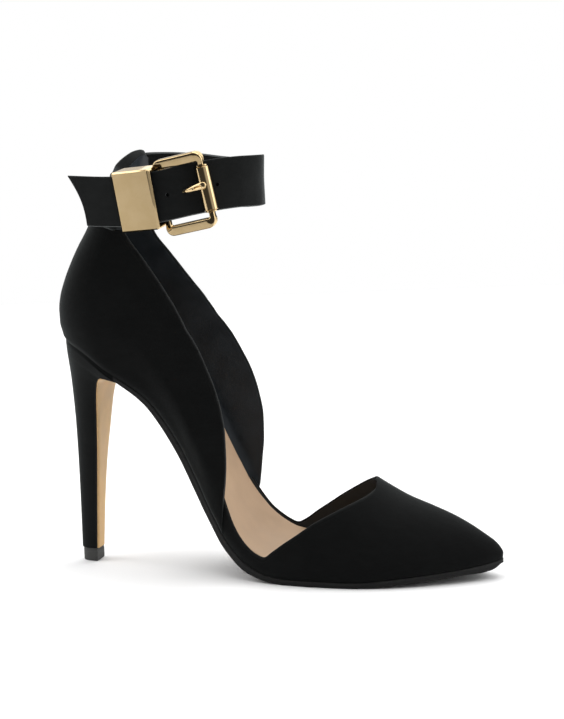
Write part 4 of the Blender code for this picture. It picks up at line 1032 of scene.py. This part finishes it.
def makeBuckleFrame():
    # rounded rectangle as a path, carrying a tilted squared oval, stout above and below and thin at the bars
    shape, steps, sides = buckleShape, buckleShape["cornerSteps"], buckleShape["sides"]
    along, up, out = levelAxes(shape["roller"] - shape["bar"])
    reach = np.linalg.norm(shape["roller"] - shape["bar"]) / 2
    middle = (shape["bar"] + shape["roller"]) / 2
    turn = np.radians(np.linspace(0, 90, steps))
    q = np.concatenate([turn + k * np.pi / 2 for k in range(4)])
    signs = np.repeat(np.array(((1, 1), (-1, 1), (-1, -1), (1, -1)), float), steps, axis=0)
    a = signs[:, 0] * (reach - shape["corner"]) + shape["corner"] * np.cos(q)
    b = signs[:, 1] * (shape["half"] - shape["corner"]) + shape["corner"] * np.sin(q)
    path = middle + along * a[:, None] + up * b[:, None]
    rise, face = tilted(up, out, shape["tilt"])
    outward = along * np.cos(q)[:, None] + rise * np.sin(q)[:, None]
    radius = shape["thin"] + (shape["side"] - shape["thin"]) * np.abs(np.sin(q))
    ring = ovalRing(path, outward, face, radius, sides, shape["square"])
    quads = gridQuads(len(path), sides, closeRows=True, closeCols=True)
    plain = np.abs(quadFacing(ring, quads, face)) > shape["plain"]      # flat faces take the darker gold copy, less bright than the edges: painted shade
    return addPiece("buckleFrame", ring, quads, (gold, goldShadedCopy), ("buckle_frame",), plain)


def makeRoller():
    # tube as a turned profile: length along the bar against radius, outside and back through the bore
    shape = rollerShape
    along, up, out = levelAxes(buckleShape["roller"] - buckleShape["bar"])
    radius = np.maximum(shape["radius"] * rollerRows["share"], shape["bore"])
    centre = buckleShape["roller"] + up * (shape["half"] * rollerRows["along"])[:, None]
    ring = ovalRing(centre, along, out, radius, shape["sides"])
    quads = gridQuads(len(centre), shape["sides"], closeRows=True, closeCols=True)
    return addPiece("buckleRoller", ring, quads, (goldRoller,), ("buckle_roller",), sharp=45)


def makeProng():
    # flattened rod along its rows, from the bar under the strap and out over the roller, with a slot in its end
    shape = prongShape
    along, up, out = levelAxes(buckleShape["roller"] - buckleShape["bar"])
    middle = (buckleShape["bar"] + buckleShape["roller"]) / 2
    row = np.linspace(0, len(prongRows["along"]) - 1, shape["steps"])
    rows = curveThrough(np.stack([prongRows[key] for key in prongRows], axis=1), row)
    a, o, rise, width, thick = rows.T[..., None]
    tip = np.clip((row - shape["tipRow"]) / shape["tipRows"], 0, 1)
    taper = np.sqrt(np.clip(1 - tip**2, 0.02, 1))
    path = middle + along * a + out * o + up * rise
    ring = ovalRing(path, up, out * thick / width, width[:, 0] / 2 * taper, shape["sides"], shape["square"])
    sideways, outward = ((ring - path[:, None]) @ way for way in (up, out))
    slot = ease((a - shape["slotStart"]) / shape["slotIn"]) * ease((shape["slotEnd"] - a) / shape["slotOut"])
    dent = shape["slotDeep"] * slot * np.exp(-(sideways / shape["slotHalf"])**4) * (outward > 0)
    ring = ring - out * dent[..., None]
    return addLoft("buckleProng", ring, (gold,), ("buckle_prong",), sharp=60)


def makeKeeper():
    # box tube with chamfered edges: outside skin, ends that roll in, inside skin
    shape = keeperShape
    along, up, out = levelAxes(shape["along"])
    up, out = tilted(up, out, shape["tilt"])
    half = shape["length"] / 2
    rim = np.array(((shape["wall"], 0.0), *shape["rim"]))
    inset = np.concatenate((rim[:, 0], rim[::-1, 0], (shape["wall"],)))[:, None]
    end = np.concatenate((rim[:, 1] - half, half - rim[::-1, 1], (-half,)))
    h, d = (shape[key] / 2 - inset for key in ("height", "depth"))
    r = np.maximum(shape["bevel"] - inset * 0.7, shape["leastBevel"])
    corners = []
    for k, (sh, sd) in enumerate(((1, 1), (-1, 1), (-1, -1), (1, -1))):
        turn = np.array((0.0, np.pi / 2))[None] + k * np.pi / 2
        corners.append(np.stack((sh * (h - r) + r * np.cos(turn), sd * (d - r) + r * np.sin(turn)), axis=2))
    flat = np.concatenate(corners, axis=1)
    ring = shape["centre"] + along * end[:, None, None] + up * flat[..., :1] + out * flat[..., 1:]
    quads = gridQuads(len(inset), flat.shape[1], closeRows=True, closeCols=True)
    bright = np.abs(quadFacing(ring, quads, up)) > shape["bright"]      # upper and lower sides and chamfers take the lighter gold copy as a painted highlight, the rest the darker copy as painted shade
    return addPiece("strapKeeper", ring, quads, (goldShadedCopy, gold), ("keeper",), bright, sharp=35)


makeBuckleFrame()
makeRoller()
makeProng()
makeKeeper()
print("buckle and keeper made")

# stage: pale floor, soft panels, and the photograph's camera
stageShape = dict(azimuth=16.81, wide=2.6, front=-0.74, back=0.95, steps=14, tone=0.95, toneRange=0.03)


def makeStage():
    # flat sheet, square to the camera
    shape, steps = stageShape, stageShape["steps"]
    a = math.radians(shape["azimuth"])
    across, behind = np.array((math.cos(a), math.sin(a), 0.0)), np.array((-math.sin(a), math.cos(a), 0.0))
    side, depth = np.linspace(-0.5, 0.5, steps) * shape["wide"], np.linspace(shape["front"], shape["back"], steps)
    sheet = side[:, None, None] * across + depth[None, :, None] * behind
    mesh = bpy.data.meshes.new("paleFloor")
    mesh.from_pydata(sheet.reshape(-1, 3), [], gridQuads(steps, steps))
    look, tree, shader = newLook("palePaper", Roughness=0.95)
    noise = noiseNode(tree, objectPlace(tree), 600.0, 2.0)
    dark, light = ((tone,) * 3 + (1,) for tone in (shape["tone"], shape["tone"] + shape["toneRange"]))
    feed(tree, shader, Base_Color=mixColour(tree, noise, dark, light))
    mesh.materials.append(look)
    floor = bpy.data.objects.new("paleFloor", mesh)
    bpy.context.collection.objects.link(floor)


# name: place, what it looks at, size across and up, watts
softPanels = dict(
    top=((0.0, 0.15, 1.3), (0.0, 0.0, 0.0), (1.3, 1.3), 10.5),
    left=((-1.1, -0.2, 0.7), (0.0, 0.0, 0.1), (0.9, 1.2), 7.5),
    right=((1.15, 0.25, 0.65), (0.0, 0.0, 0.1), (0.9, 1.2), 7.5),
    back=((0.1, 1.2, 0.9), (0.0, 0.0, 0.1), (1.6, 0.9), 4.5))


def makeLights():
    for name, (place, target, size, watts) in softPanels.items():
        lamp = bpy.data.lights.new(name + "Panel", "AREA")
        lamp.shape, lamp.size, lamp.size_y, lamp.energy = "RECTANGLE", size[0], size[1], watts
        panel = bpy.data.objects.new(name + "Panel", lamp)
        panel.location = place
        panel.rotation_euler = (Vector(target) - Vector(place)).to_track_quat("-Z", "Y").to_euler()
        bpy.context.collection.objects.link(panel)


# room: grey walls, unlit on the front side, in front of a white backdrop
roomShape = dict(grey=0.72, unlit=0.08, towards=(-0.34, -0.94, 0.0), fade=(0.3, 0.7), backdrop=1.0)


def makeRoom():
    world = bpy.data.worlds.new("softRoom")
    world.use_nodes = True
    tree = world.node_tree
    way = addNode(tree, "ShaderNodeTexCoord").outputs["Generated"]
    ahead = addNode(tree, "ShaderNodeVectorMath", operation="DOT_PRODUCT")
    feed(tree, ahead, i0=way, i1=roomShape["towards"])
    walls = stretch(tree, ahead.outputs["Value"], *roomShape["fade"], roomShape["grey"], roomShape["unlit"])
    seen = addNode(tree, "ShaderNodeLightPath").outputs["Is Camera Ray"]
    backdrop = mathNode(tree, "MULTIPLY", seen, roomShape["backdrop"])
    strength = mathNode(tree, "MAXIMUM", walls, backdrop)
    feed(tree, tree.nodes["Background"], Strength=strength, Color=(1, 1, 1, 1))
    bpy.context.scene.world = world


cameraShape = dict(azimuth=16.81, elevation=10.04, roll=-2.06, distance=1088.75, target=(115.8, 0.0, 107.54),
                   lens=108.86, sensor=36.0, near=0.01)


def makeCamera():
    shape = cameraShape
    a, e, r = (math.radians(shape[key]) for key in ("azimuth", "elevation", "roll"))
    back = Vector((math.sin(a) * math.cos(e), -math.cos(a) * math.cos(e), math.sin(e)))
    right = Vector((math.cos(a), math.sin(a), 0.0))
    up = back.cross(right)
    axes = (right * math.cos(r) + up * math.sin(r), up * math.cos(r) - right * math.sin(r), back)
    lens = bpy.data.cameras.new("photoCamera")
    lens.lens, lens.sensor_width, lens.clip_start = shape["lens"], shape["sensor"], shape["near"]
    camera = bpy.data.objects.new("photoCamera", lens)
    place = Vector((np.array(shape["target"]) + toFrame) * mm) + back * shape["distance"] * mm
    camera.matrix_world = Matrix.Translation(place) @ Matrix(axes).transposed().to_4x4()
    bpy.context.collection.objects.link(camera)
    bpy.context.scene.camera = camera
    bpy.context.scene.view_settings.view_transform = "Standard"


makeStage()
makeLights()
makeRoom()
makeCamera()
print("stage, light and camera made")
